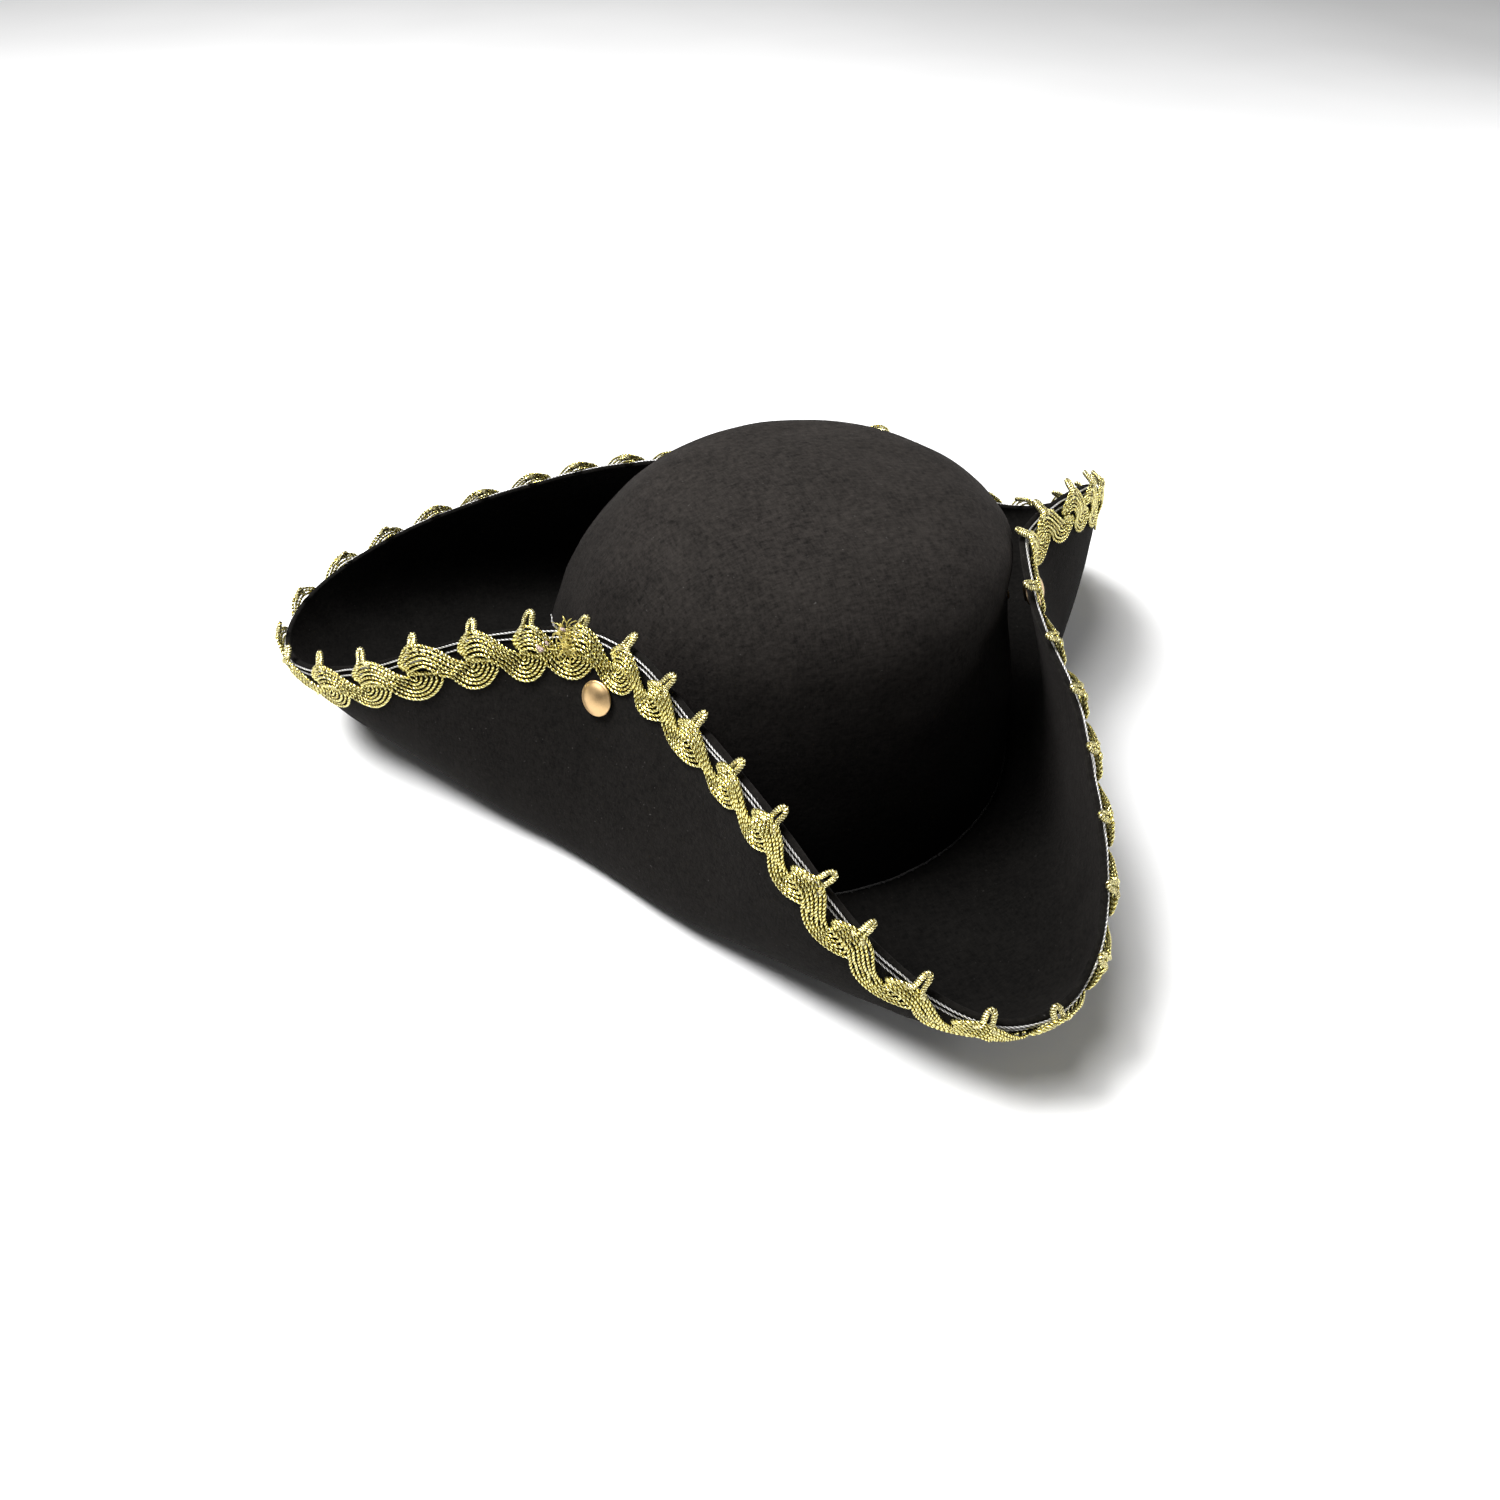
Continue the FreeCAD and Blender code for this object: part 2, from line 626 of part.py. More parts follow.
# picot loops, one per repeat of the braid, counted from the join on the left flap
join = 80.0
samples = [join + i * 0.25 for i in range(1441)]
pts = [place(f, rim_radius(f % 360), rim_height(f % 360)) for f in samples]
run = [0.0]
for a, b in zip(pts, pts[1:]):
    run.append(run[-1] + (b - a).Length)
count = int(round(run[-1] / D["braid_repeat"]))
print("rim length %.0f mm, %d repeats of %.1f mm" % (run[-1], count, run[-1] / count))
loops = {}
k = 0
for i in range(count):
    goal = run[-1] * (i + 0.5) / count
    while run[k] < goal:
        k += 1
    f = samples[k] % 360.0
    where = None
    for side, (f0, f1, fs) in sides.items():
        if f0 <= f <= f1:
            where = "flap_" + side
            lim = (f0, f1)
    for side, (f0, f1) in corners.items():
        if f0 <= f <= f1 or f0 <= f - 360 <= f1:
            where = "corner_" + side
            lim = (f0, f1) if f <= f1 else (f0 + 360, f1 + 360)
    # a loop stays on its own side of a cut
    r = rim_radius(f)
    reach = math.degrees((D["picot_rad"] + 1.2) / r)
    f = min(max(f, lim[0] + reach), lim[1] - reach)
    loops.setdefault(where, []).append(f)
for where, fs in loops.items():
    bits = []
    for f in fs:
        p, up, along, n, _ = frame_at(f, 0.0)
        c = p + up * 0.6 + n * (t2 + D["picot_off"])
        tor = Part.makeTorus(D["picot_rad"], D["picot_wire"], Vector(0, 0, 0), Vector(0, 0, 1))
        tor.Placement = Placement(c, Rotation(Vector(0, 0, 1), n))
        bits.append(tor)
    o = doc.addObject("Part::Feature", "picots_" + where)
    o.Shape = Part.makeCompound(bits)
    made.append(o)

# ---------------------------------------------------------------- snap pieces
for side in sides:
    p, n, cp, cn, s = snaps[side]
    lift = 0.5
    cap = turned("snap_cap_" + side, cap_points())
    cap.Placement = turn_about(p + n * (t2 + lift), n)
    made.append(cap)
    sock = turned("snap_socket_" + side, socket_points())
    sock.Placement = turn_about(p - n * (t2 + 0.2), n * -1)
    made.append(sock)
    stud = turned("snap_stud_" + side, stud_points())
    stud.Placement = turn_about(cp + cn * 0.1, cn)
    made.append(stud)
    post = turned("snap_post_" + side, post_points())
    post.Placement = turn_about(cp - cn * (D["felt_thick"] + 0.3), cn * -1)
    made.append(post)
    # the shanks through the felt
    for tag, q, d, length in (("cap_shank_", p - n * (t2 + 0.1), n, D["felt_thick"] + 0.1 + lift),
                              ("post_shank_", cp - cn * (D["felt_thick"] + 0.3), cn, D["felt_thick"] + 0.4)):
        sh = doc.addObject("Part::Cylinder", tag + side)
        sh.setExpression("Radius", "dims.shank_rad")
        sh.Height = length
        sh.Placement = turn_about(q, d)
        made.append(sh)

# ---------------------------------------------------------------- stitches and the braid's join
seam = stitch_ring("crown_seam_stitches", D["crown_rad"] + 0.45, 3.4, "seam_stitches", 0.55)
made.append(seam)
rs = crown_radius(D["band_low"] + 2.2)[0] - D["felt_thick"] - D["band_off"] - D["band_thick"] - 0.4
made.append(stitch_ring("sweatband_stitches", rs, D["band_low"] + 2.2, "band_stitches", 0.0))

# the braid's frayed join on the left flap: a small flattened tuft over the band
p, up, along, n, _ = frame_at(join, 9.4)
tuft = doc.addObject("Part::Ellipsoid", "braid_join_tuft")
tuft.Radius1 = 1.0
tuft.Radius2 = 4.5
tuft.Radius3 = 4.5
tuft.Angle1 = -90
tuft.Angle2 = 90
tuft.Angle3 = 360
tuft.Placement = Placement(p + n * (t2 + D["braid_off"] + D["braid_thick"] + 1.3), Rotation(Vector(0, 0, 1), n))
made.append(tuft)

doc.recompute()

# ---------------------------------------------------------------- checks and export
for o in made:
    o.Label = o.Name
bad = [o.Name for o in doc.Objects if "Invalid" in o.State or "Error" in o.State]
if bad:
    raise RuntimeError("failed objects: %s" % bad)
names = [o.Name for o in made]
if len(set(names)) != len(names):
    raise RuntimeError("names repeat")
os.makedirs("parts", exist_ok=True)
for o in made:
    shp = o.Shape
    if shp.isNull() or not shp.isValid():
        raise RuntimeError("bad shape: " + o.Name)
    vol = sum(s.Volume for s in shp.Solids)
    if not shp.Solids or vol <= 0:
        raise RuntimeError("no solid: " + o.Name)
for o in made:
    o.Shape.exportStep("parts/%s.step" % o.Label)
    b = o.Shape.BoundBox
    print("%-30s %2d solids %9.0f mm3  x %.1f..%.1f y %.1f..%.1f z %.1f..%.1f"
          % (o.Label, len(o.Shape.Solids), sum(s.Volume for s in o.Shape.Solids),
             b.XMin, b.XMax, b.YMin, b.YMax, b.ZMin, b.ZMax))
print(len(made), "sub-parts")
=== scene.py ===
import bpy
import math
import numpy as np
from mathutils import Matrix, Vector


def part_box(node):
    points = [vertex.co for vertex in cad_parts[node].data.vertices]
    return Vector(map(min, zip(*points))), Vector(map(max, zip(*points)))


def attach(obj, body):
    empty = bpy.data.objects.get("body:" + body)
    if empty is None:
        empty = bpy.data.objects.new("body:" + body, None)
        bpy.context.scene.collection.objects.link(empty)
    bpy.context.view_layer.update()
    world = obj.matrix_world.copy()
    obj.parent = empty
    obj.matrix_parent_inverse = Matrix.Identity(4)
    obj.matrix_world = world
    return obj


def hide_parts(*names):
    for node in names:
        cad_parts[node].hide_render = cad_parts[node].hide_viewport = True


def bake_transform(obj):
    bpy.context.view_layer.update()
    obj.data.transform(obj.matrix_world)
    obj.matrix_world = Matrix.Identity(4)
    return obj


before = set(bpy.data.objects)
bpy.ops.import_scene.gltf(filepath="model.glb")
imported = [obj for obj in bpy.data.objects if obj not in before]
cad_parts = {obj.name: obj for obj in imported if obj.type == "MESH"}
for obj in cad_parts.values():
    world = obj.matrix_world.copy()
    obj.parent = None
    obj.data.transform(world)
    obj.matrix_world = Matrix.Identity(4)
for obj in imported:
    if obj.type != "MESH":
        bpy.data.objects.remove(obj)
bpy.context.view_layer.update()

# A tricorn pirate hat in metres. +Z up, -Y is the front corner. Lengths in the shape code are
# in millimetres and become metres when a mesh is made. Azimuth f is counted in degrees from
# the front corner towards -X: x = -r sin f, y = -r cos f.
rng = np.random.default_rng(11)

# ------------------------------------------------------------------ camera
AZ, EL, ROLL = math.radians(-21.7379352), math.radians(44.46622846), math.radians(0.47649826)
TX, TY, DIST, FOCAL = 1.95280827, 1.42560183, 47.84576978, 1077.88276801
back = Vector((math.sin(AZ) * math.cos(EL), -math.cos(AZ) * math.cos(EL), math.sin(EL)))
right0 = Vector((math.cos(AZ), math.sin(AZ), 0))
up0 = back.cross(right0)
right = right0 * math.cos(ROLL) + up0 * math.sin(ROLL)
up = up0 * math.cos(ROLL) - right0 * math.sin(ROLL)
where = (right * -TX + up * -TY + back * DIST) / 100 + Vector((0.009, 0, 0))
cam_data = bpy.data.cameras.new("camera")
cam = bpy.data.objects.new("camera", cam_data)
bpy.context.scene.collection.objects.link(cam)
m = Matrix.Identity(4)
for i in range(3):
    m[i][0], m[i][1], m[i][2], m[i][3] = right[i], up[i], back[i], where[i]
cam.matrix_world = m
cam_data.sensor_fit = "HORIZONTAL"
cam_data.sensor_width = 36
cam_data.lens = FOCAL / 1500 * 36
cam_data.clip_start, cam_data.clip_end = 0.01, 50
bpy.context.scene.camera = cam

# ------------------------------------------------------------------ the felt's shape
RIM_R = [186.0, 171.1, 152.3, 133.5, 116.0, 102.7, 94.6, 89.4, 86.0, 87.2, 93.7, 105.8,
         125.8, 156.1, 185.5, 200.4, 201.0, 191.7, 179.4, 164.5, 145.4, 124.7, 106.0, 93.3,
         88.5, 90.1, 96.9, 112.3, 136.1, 161.9, 180.4, 190.4, 198.6, 202.3, 195.3, 173.3,
         142.3, 115.4, 98.7, 91.2, 90.1, 93.3, 100.2, 111.2, 127.1, 147.9, 169.5, 185.0]
RIM_Z = [38.7, 45.7, 63.7, 80.5, 85.3, 86.8, 91.7, 96.4, 97.5, 96.9, 95.3, 91.2,
         81.7, 64.6, 48.6, 42.6, 43.6, 47.5, 51.6, 56.3, 63.5, 71.4, 78.0, 82.5,
         84.7, 86.1, 86.8, 82.7, 72.7, 61.0, 44.8, 27.1, 20.6, 27.5, 44.8, 67.9,
         87.8, 96.9, 98.2, 98.8, 99.0, 94.6, 88.1, 83.5, 77.4, 65.6, 51.7, 41.7]
FOLD_Q = [76.7, 66.0, 51.6, 34.5, 27.3, 39.7, 65.1, 82.8, 94.3, 95.8, 83.0, 65.7, 54.4]
R0, Z0 = 101.2, 1.6
HALF = 1.15            # half the felt's thickness
BEND = 12.0            # from the brim's root to the fold of a turned-up flap


def periodic(values, step):
    """Periodic cubic spline through values at multiples of step."""
    y = np.array(values, float)
    n = len(y)
    a = np.zeros((n, n))
    for i in range(n):
        a[i, (i - 1) % n], a[i, i], a[i, (i + 1) % n] = 1, 4, 1
    k = np.linalg.solve(a, 6 / step ** 2 * (np.roll(y, -1) - 2 * y + np.roll(y, 1)))

    def at(x):
        x = np.asarray(x, float) / step
        i = np.floor(x).astype(int)
        t = x - i
        i0, i1 = i % n, (i + 1) % n
        h = step
        return ((1 - t) * y[i0] + t * y[i1]
                - h * h / 6 * (1 - t) * t * ((2 - t) * k[i0] + (1 + t) * k[i1]))
    return at


# the soft edge's small departures from the regular shape: station, radius, height
for i, dr, dz in ((14, 1.5, 0), (15, 3.0, 0), (16, 4.0, 0), (17, 3.5, 0), (18, 1.5, 0),
                  (3, -0.6, 1.5), (4, -1.2, 2.8), (5, -1.4, 3.2), (6, -1.2, 2.8), (7, -0.8, 1.8),
                  (22, 0, -0.5), (23, 0, -1.5), (24, 0, -3.0), (25, 0, -7.5),
                  (26, 0, -13.0), (27, 0, -15.0), (28, 0, -12.5), (29, 0, -6.0), (30, -3.0, -2.0),
                  (31, -8.0, 1.0), (32, -14.0, 2.5), (33, -18.0, 4.0), (34, -16.0, 4.0),
                  (35, -10.0, 2.5), (36, -4.0, 1.0)):
    RIM_R[i] += dr
    RIM_Z[i] += dz
rim_r = periodic(RIM_R, 7.5)
rim_z = periodic(RIM_Z, 7.5)
CURL = [(0, 0), (8, 0), (16.5, 5), (24, 10), (32, 16), (44, 16), (56, 8), (66, 0), (360, 0)]
fold_q = periodic(FOLD_Q + FOLD_Q[-2:0:-1], 15.0)

NF, DSTEP, DMIN = 1440, 0.5, -14.0
F_TAB = np.arange(NF) * (360.0 / NF)
D_TAB = np.arange(DMIN, 136.0, DSTEP)
R_TAB = np.zeros((NF, len(D_TAB)))
Z_TAB = np.zeros((NF, len(D_TAB)))
TOTAL = np.zeros(NF)
tt = np.linspace(0, 1, 161)
for i, f in enumerate(F_TAB):
    r, z, q = float(rim_r(f)), float(rim_z(f)), float(fold_q(f))
    br = (1 - tt) ** 2 * R0 + 2 * tt * (1 - tt) * (R0 + q) + tt * tt * r
    bz = (1 - tt) ** 2 * Z0 + 2 * tt * (1 - tt) * Z0 + tt * tt * z
    c = np.concatenate([[0], np.cumsum(np.hypot(np.diff(br), np.diff(bz)))])
    TOTAL[i] = c[-1]
    s = c[-1] - D_TAB
    rr, zz = np.interp(s, c, br), np.interp(s, c, bz)
    e = s > c[-1]                       # past the rim, straight on
    tr, tz = br[-1] - br[-3], bz[-1] - bz[-3]
    g = math.hypot(tr, tz)
    rr[e] = br[-1] + (s[e] - c[-1]) * tr / g
    zz[e] = bz[-1] + (s[e] - c[-1]) * tz / g
    e = s < 0                           # inside the root, level
    rr[e], zz[e] = R0 + s[e], Z0
    turn = math.radians(np.interp(f, [c[0] for c in CURL], [c[1] for c in CURL]))
    if turn > 0:
        # the last 32 mm curl outwards; what lies below shifts in to meet them
        d = D_TAB
        k = np.clip(1 - np.clip(d, 0, None) / 32.0, 0, 1)
        ang = turn * k * k * (3 - 2 * k)
        dr, dz = np.gradient(rr, DSTEP), np.gradient(zz, DSTEP)
        j0 = int(round(-DMIN / DSTEP))
        nr, nz = np.cos(ang) * dr + np.sin(ang) * dz, -np.sin(ang) * dr + np.cos(ang) * dz
        nr2, nz2 = np.cumsum(nr) * DSTEP, np.cumsum(nz) * DSTEP
        nr2, nz2 = nr2 - nr2[j0] + rr[j0], nz2 - nz2[j0] + zz[j0]
        j1 = min(int(round((32 - DMIN) / DSTEP)), len(d) - 1)
        er, ez = nr2[j1] - rr[j1], nz2[j1] - zz[j1]
        w = np.clip((c[-1] - d) / (c[-1] - 32.0), 0, 1)
        w = w * w * (3 - 2 * w)
        rr = np.where(d <= 32, nr2, rr + er * w)
        zz = np.where(d <= 32, nz2, zz + ez * w)
    R_TAB[i], Z_TAB[i] = rr, zz


def look(table, f, d):
    x = np.asarray(f, float) / 360.0 * NF
    y = (np.asarray(d, float) - DMIN) / DSTEP
    y = np.clip(y, 0, len(D_TAB) - 1.001)
    i = np.floor(x).astype(int)
    j = np.floor(y).astype(int)
    a, b = x - i, y - j
    i0, i1 = i % NF, (i + 1) % NF
    return ((1 - a) * (1 - b) * table[i0, j] + a * (1 - b) * table[i1, j]
            + (1 - a) * b * table[i0, j + 1] + a * b * table[i1, j + 1])


def total(f):
    x = np.asarray(f, float) / 360.0 * NF
    i = np.floor(x).astype(int)
    a = x - i
    return (1 - a) * TOTAL[i % NF] + a * TOTAL[(i + 1) % NF]


def waves(x, y, z, size, seed, octaves=2):
    """Smooth noise from sums of sines, from -1 to 1 or so; size is its wavelength in mm."""
    g = np.random.default_rng(seed)
    out = np.zeros(np.broadcast(x, y, z).shape)
    amp = 1.0
    for o in range(octaves):
        for k in range(5):
            d = g.normal(size=3)
            d /= np.linalg.norm(d)
            out = out + amp * 0.45 * np.sin(2 * np.pi / size * (d[0] * x + d[1] * y + d[2] * z)
                                            * g.uniform(0.7, 1.3) + g.uniform(0, 6.28))
        size, amp = size * 0.5, amp * 0.5
    return out


def mid(f, d):
    """Points of the felt's middle surface, in mm."""
    r, z = look(R_TAB, f, d), look(Z_TAB, f, d)
    a = np.radians(f)
    return np.stack([-r * np.sin(a), -r * np.cos(a), z], -1)


def unit(v):
    return v / np.maximum(np.linalg.norm(v, axis=-1, keepdims=True), 1e-12)


def outward(f, d):
    """Unit normal of the felt's outer face, the one that carries the braid."""
    df = mid(np.asarray(f) + 0.6, d) - mid(np.asarray(f) - 0.6, d)
    dd = mid(f, np.asarray(d) + 0.8) - mid(f, np.asarray(d) - 0.8)
    n = unit(np.cross(df, dd))
    a = np.radians(f)
    s = look(R_TAB, f, np.asarray(d) - 0.8) - look(R_TAB, f, np.asarray(d) + 0.8)
    h = look(Z_TAB, f, np.asarray(d) - 0.8) - look(Z_TAB, f, np.asarray(d) + 0.8)
    flat = np.stack([-h * np.sin(a), -h * np.cos(a), -s], -1)
    return n * np.where((n * flat).sum(-1, keepdims=True) < 0, -1, 1)


def felt_mid(f, d):
    """The middle surface with the small unevenness of soft felt."""
    p = mid(f, d)
    n = outward(f, d)
    s = total(f) - d
    ease = np.clip(s / 25.0, 0, 1) ** 2
    w = 0.45 * waves(p[..., 0], p[..., 1], p[..., 2], 85.0, 3) * ease
    w = w + 0.10 * waves(p[..., 0], p[..., 1], p[..., 2], 17.0, 4, 1) * ease
    return p + n * w[..., None], n


# the rim's own length, counted from the braid's join
fs = 80.0 - np.arange(0, 360.0001, 0.1)
rim_pts = mid(fs, np.zeros_like(fs))
run = np.concatenate([[0], np.cumsum(np.linalg.norm(np.diff(rim_pts, axis=0), axis=1))])
RIM = run[-1]
REPEATS = 52
PITCH = RIM / REPEATS
# at each rim point, how azimuth and depth change along the line square to the rim
e_f = (mid(fs - 0.5, 0 * fs + 0.0) - mid(fs + 0.5, 0 * fs + 0.0))        # per degree, run grows
e_d = unit(mid(fs, 0 * fs + 1.0) - mid(fs, 0 * fs))
tan = unit(e_f)
nrm = outward(fs, 0 * fs)
sq = unit(np.cross(nrm, tan))
sq = sq * np.where((sq * e_d).sum(-1, keepdims=True) < 0, -1, 1)
# sq = alpha * e_f + beta * e_d
a11, a12, a22 = (e_f * e_f).sum(-1), (e_f * e_d).sum(-1), (e_d * e_d).sum(-1)
b1, b2 = (sq * e_f).sum(-1), (sq * e_d).sum(-1)
det = a11 * a22 - a12 * a12
ALPHA = (b1 * a22 - b2 * a12) / det
BETA = (a11 * b2 - a12 * b1) / det


def smooth(v, width):
    k = np.hanning(width)
    k /= k.sum()
    n = len(v) - 1
    w = np.concatenate([v[:n], v[:n], v[:n]])
    w = np.convolve(w, k, "same")[n:2 * n]
    return np.concatenate([w, w[:1]])


ALPHA, BETA = smooth(ALPHA, 61), smooth(BETA, 61)


def trim_point(u, v, w):
    """A point of the trim: u mm along the rim from the join, v mm below the edge, w mm off
    the felt's outer face. Returns the point, the outward normal and the azimuth."""
    uu = np.mod(u, RIM)
    turns = np.floor(u / RIM)
    f = np.interp(uu, run, fs) - 360.0 * turns
    al, be = np.interp(uu, run, ALPHA), np.interp(uu, run, BETA)
    f = f - al * v
    d = be * v
    p, n = felt_mid(f, d)
    return p + n * (HALF + np.asarray(w))[..., None], n, f


# ------------------------------------------------------------------ mesh helpers
def make(name, verts, faces, mat, uvs=None, smooth_on=True, closed=False, normals=None):
    """verts in mm. faces is an (n, 4) or (n, 3) array, or a list of index tuples."""
    verts = np.asarray(verts, float).reshape(-1, 3) / 1000.0
    if not isinstance(faces, np.ndarray) or closed:
        vol = 0.0
        by = {}
        for q in faces:
            by.setdefault(len(q), []).append(q)
        for k, qs in by.items():
            qs = np.array(qs)
            for j in range(1, k - 1):
                x, y, z = verts[qs[:, 0]], verts[qs[:, j]], verts[qs[:, j + 1]]
                vol += (np.cross(x, y) * z).sum() / 6
        if vol < 0:
            faces = faces[:, ::-1] if isinstance(faces, np.ndarray) else [q[::-1] for q in faces]
        print("volume", name, round(abs(vol) * 1e6, 2), "cm3")
    me = bpy.data.meshes.new(name)
    if isinstance(faces, np.ndarray):
        k = faces.shape[1]
        me.vertices.add(len(verts))
        me.vertices.foreach_set("co", verts.astype(np.float32).ravel())
        me.loops.add(faces.size)
        me.loops.foreach_set("vertex_index", faces.astype(np.int32).ravel())
        me.polygons.add(len(faces))
        me.polygons.foreach_set("loop_start", (np.arange(len(faces)) * k).astype(np.int32))
        me.update(calc_edges=True)
    else:
        me.from_pydata([tuple(v) for v in verts], [], [tuple(int(i) for i in f) for f in faces])
        me.update()
    me.validate()
    if smooth_on:
        me.polygons.foreach_set("use_smooth", np.ones(len(me.polygons), bool))
    at = me.attributes.new("rest", "FLOAT_VECTOR", "POINT")
    at.data.foreach_set("vector", verts.astype(np.float32).ravel())
    if uvs is not None:
        lay = me.uv_layers.new(name="uv")
        li = np.zeros(len(me.loops), np.int32)
        me.loops.foreach_get("vertex_index", li)
        lay.data.foreach_set("uv", np.asarray(uvs, np.float32)[li].ravel())
    if normals is not None:
        me.normals_split_custom_set_from_vertices([tuple(v) for v in normals])
    ob = bpy.data.objects.new(name, me)
    bpy.context.scene.collection.objects.link(ob)
    me.materials.append(mat)
    return ob


def grid_faces(nu, nv, closed_u=False, closed_v=False, start=0, flip=False):
    """Quads of a grid whose vertex (i, j) has index start + i * nv + j."""
    i = np.arange(nu if closed_u else nu - 1)
    j = np.arange(nv if closed_v else nv - 1)
    I, J = np.meshgrid(i, j, indexing="ij")
    I1, J1 = (I + 1) % nu, (J + 1) % nv
    q = np.stack([I * nv + J, I1 * nv + J, I1 * nv + J1, I * nv + J1], -1).reshape(-1, 4)
    if flip:
        q = q[:, ::-1]
    return q + start


class Bag:
    """Collects tubes and strips for one piece."""

    def __init__(self):
        self.v, self.f, self.uv, self.n = [], [], [], 0

    def add(self, v, f, uv):
        self.v.append(v)
        self.f.append(f + self.n)
        self.uv.append(uv)
        self.n += len(v)

    def make(self, name, mat):
        return make(name, np.concatenate(self.v), np.concatenate(self.f), mat,
                    np.concatenate(self.uv))


def tube(pts, side, radius, ring=8, lobes=2, bump=0.0, pitch=2.0, s0=0.0, phase=0.0, taper=False,
         squash=None):
    """A tube along pts with its rings oriented by side. bump and pitch twist its plies."""
    pts = np.asarray(pts, float)
    t = unit(np.gradient(pts, axis=0))
    b = unit(np.cross(t, side))
    n = np.cross(b, t)
    s = s0 + np.concatenate([[0], np.cumsum(np.linalg.norm(np.diff(pts, axis=0), axis=1))])
    ph = np.linspace(0, 2 * np.pi, ring, endpoint=False)
    rad = np.broadcast_to(np.asarray(radius, float), (len(pts),)).copy()
    if taper:
        k = np.linspace(0, 1, len(pts))
        rad = rad * np.sqrt(np.clip(1 - (np.abs(k * 2 - 1)) ** 14, 0.0, 1))
    tw = 2 * np.pi * s / pitch + phase
    rr = rad[:, None] * (1 + bump * np.cos(lobes * (ph[None, :] - tw[:, None])))
    cn, cb = np.cos(ph)[None, :, None], np.sin(ph)[None, :, None]
    if squash is not None:
        cn = cn * squash
    v = pts[:, None, :] + rr[..., None] * (cn * n[:, None, :] + cb * b[:, None, :])
    k = np.arange(ring)
    # the seam's last column repeats the first with its own uv
    v = np.concatenate([v, v[:, :1]], 1)
    uv = np.stack([np.broadcast_to(np.linspace(0, 1, ring + 1)[None, :] - 0, (len(pts), ring + 1)),
                   np.broadcast_to(s[:, None] / 10.0, (len(pts), ring + 1))], -1)
    m = ring + 1
    faces = grid_faces(len(pts), m, flip=True)
    return v.reshape(-1, 3), faces, uv.reshape(-1, 2), s


# ------------------------------------------------------------------ materials
def material(name):
    mat = bpy.data.materials.new(name)
    mat.use_nodes = True
    nt = mat.node_tree
    for n in list(nt.nodes):
        if n.type not in ("OUTPUT_MATERIAL", "BSDF_PRINCIPLED"):
            nt.nodes.remove(n)
    return mat, nt, nt.nodes["Principled BSDF"]


def node(nt, kind, **props):
    n = nt.nodes.new(kind)
    for k, v in props.items():
        if k.startswith("in_"):
            n.inputs[k[3:].replace("_", " ")].default_value = v
        else:
            setattr(n, k, v)
    return n


def ramp(nt, fac, stops, mode="EASE"):
    n = nt.nodes.new("ShaderNodeValToRGB")
    n.color_ramp.interpolation = mode
    els = n.color_ramp.elements
    while len(els) < len(stops):
        els.new(0.5)
    for e, (p, c) in zip(els, stops):
        e.position = p
        e.color = (*c, 1) if len(c) == 3 else c
    nt.links.new(fac, n.inputs["Fac"])
    return n.outputs["Color"]


def math_node(nt, op, a, b=None, c=None):
    n = nt.nodes.new("ShaderNodeMath")
    n.operation = op
    for i, x in enumerate((a, b, c)):
        if x is None:
            continue
        if isinstance(x, (int, float)):
            n.inputs[i].default_value = x
        else:
            nt.links.new(x, n.inputs[i])
    return n.outputs[0]


def noise(nt, vec, scale, detail=2.0, rough=0.5, distortion=0.0):
    n = nt.nodes.new("ShaderNodeTexNoise")
    n.inputs["Scale"].default_value = scale
    n.inputs["Detail"].default_value = detail
    n.inputs["Roughness"].default_value = rough
    n.inputs["Distortion"].default_value = distortion
    nt.links.new(vec, n.inputs["Vector"])
    return n.outputs["Fac"]


def rest_vector(nt):
    n = nt.nodes.new("ShaderNodeAttribute")
    n.attribute_name = "rest"
    return n.outputs["Vector"]


def bump(nt, bsdf, height, strength, distance):
    n = nt.nodes.new("ShaderNodeBump")
    n.inputs["Strength"].default_value = strength
    n.inputs["Distance"].default_value = distance
    nt.links.new(height, n.inputs["Height"])
    nt.links.new(n.outputs["Normal"], bsdf.inputs["Normal"])
    return n


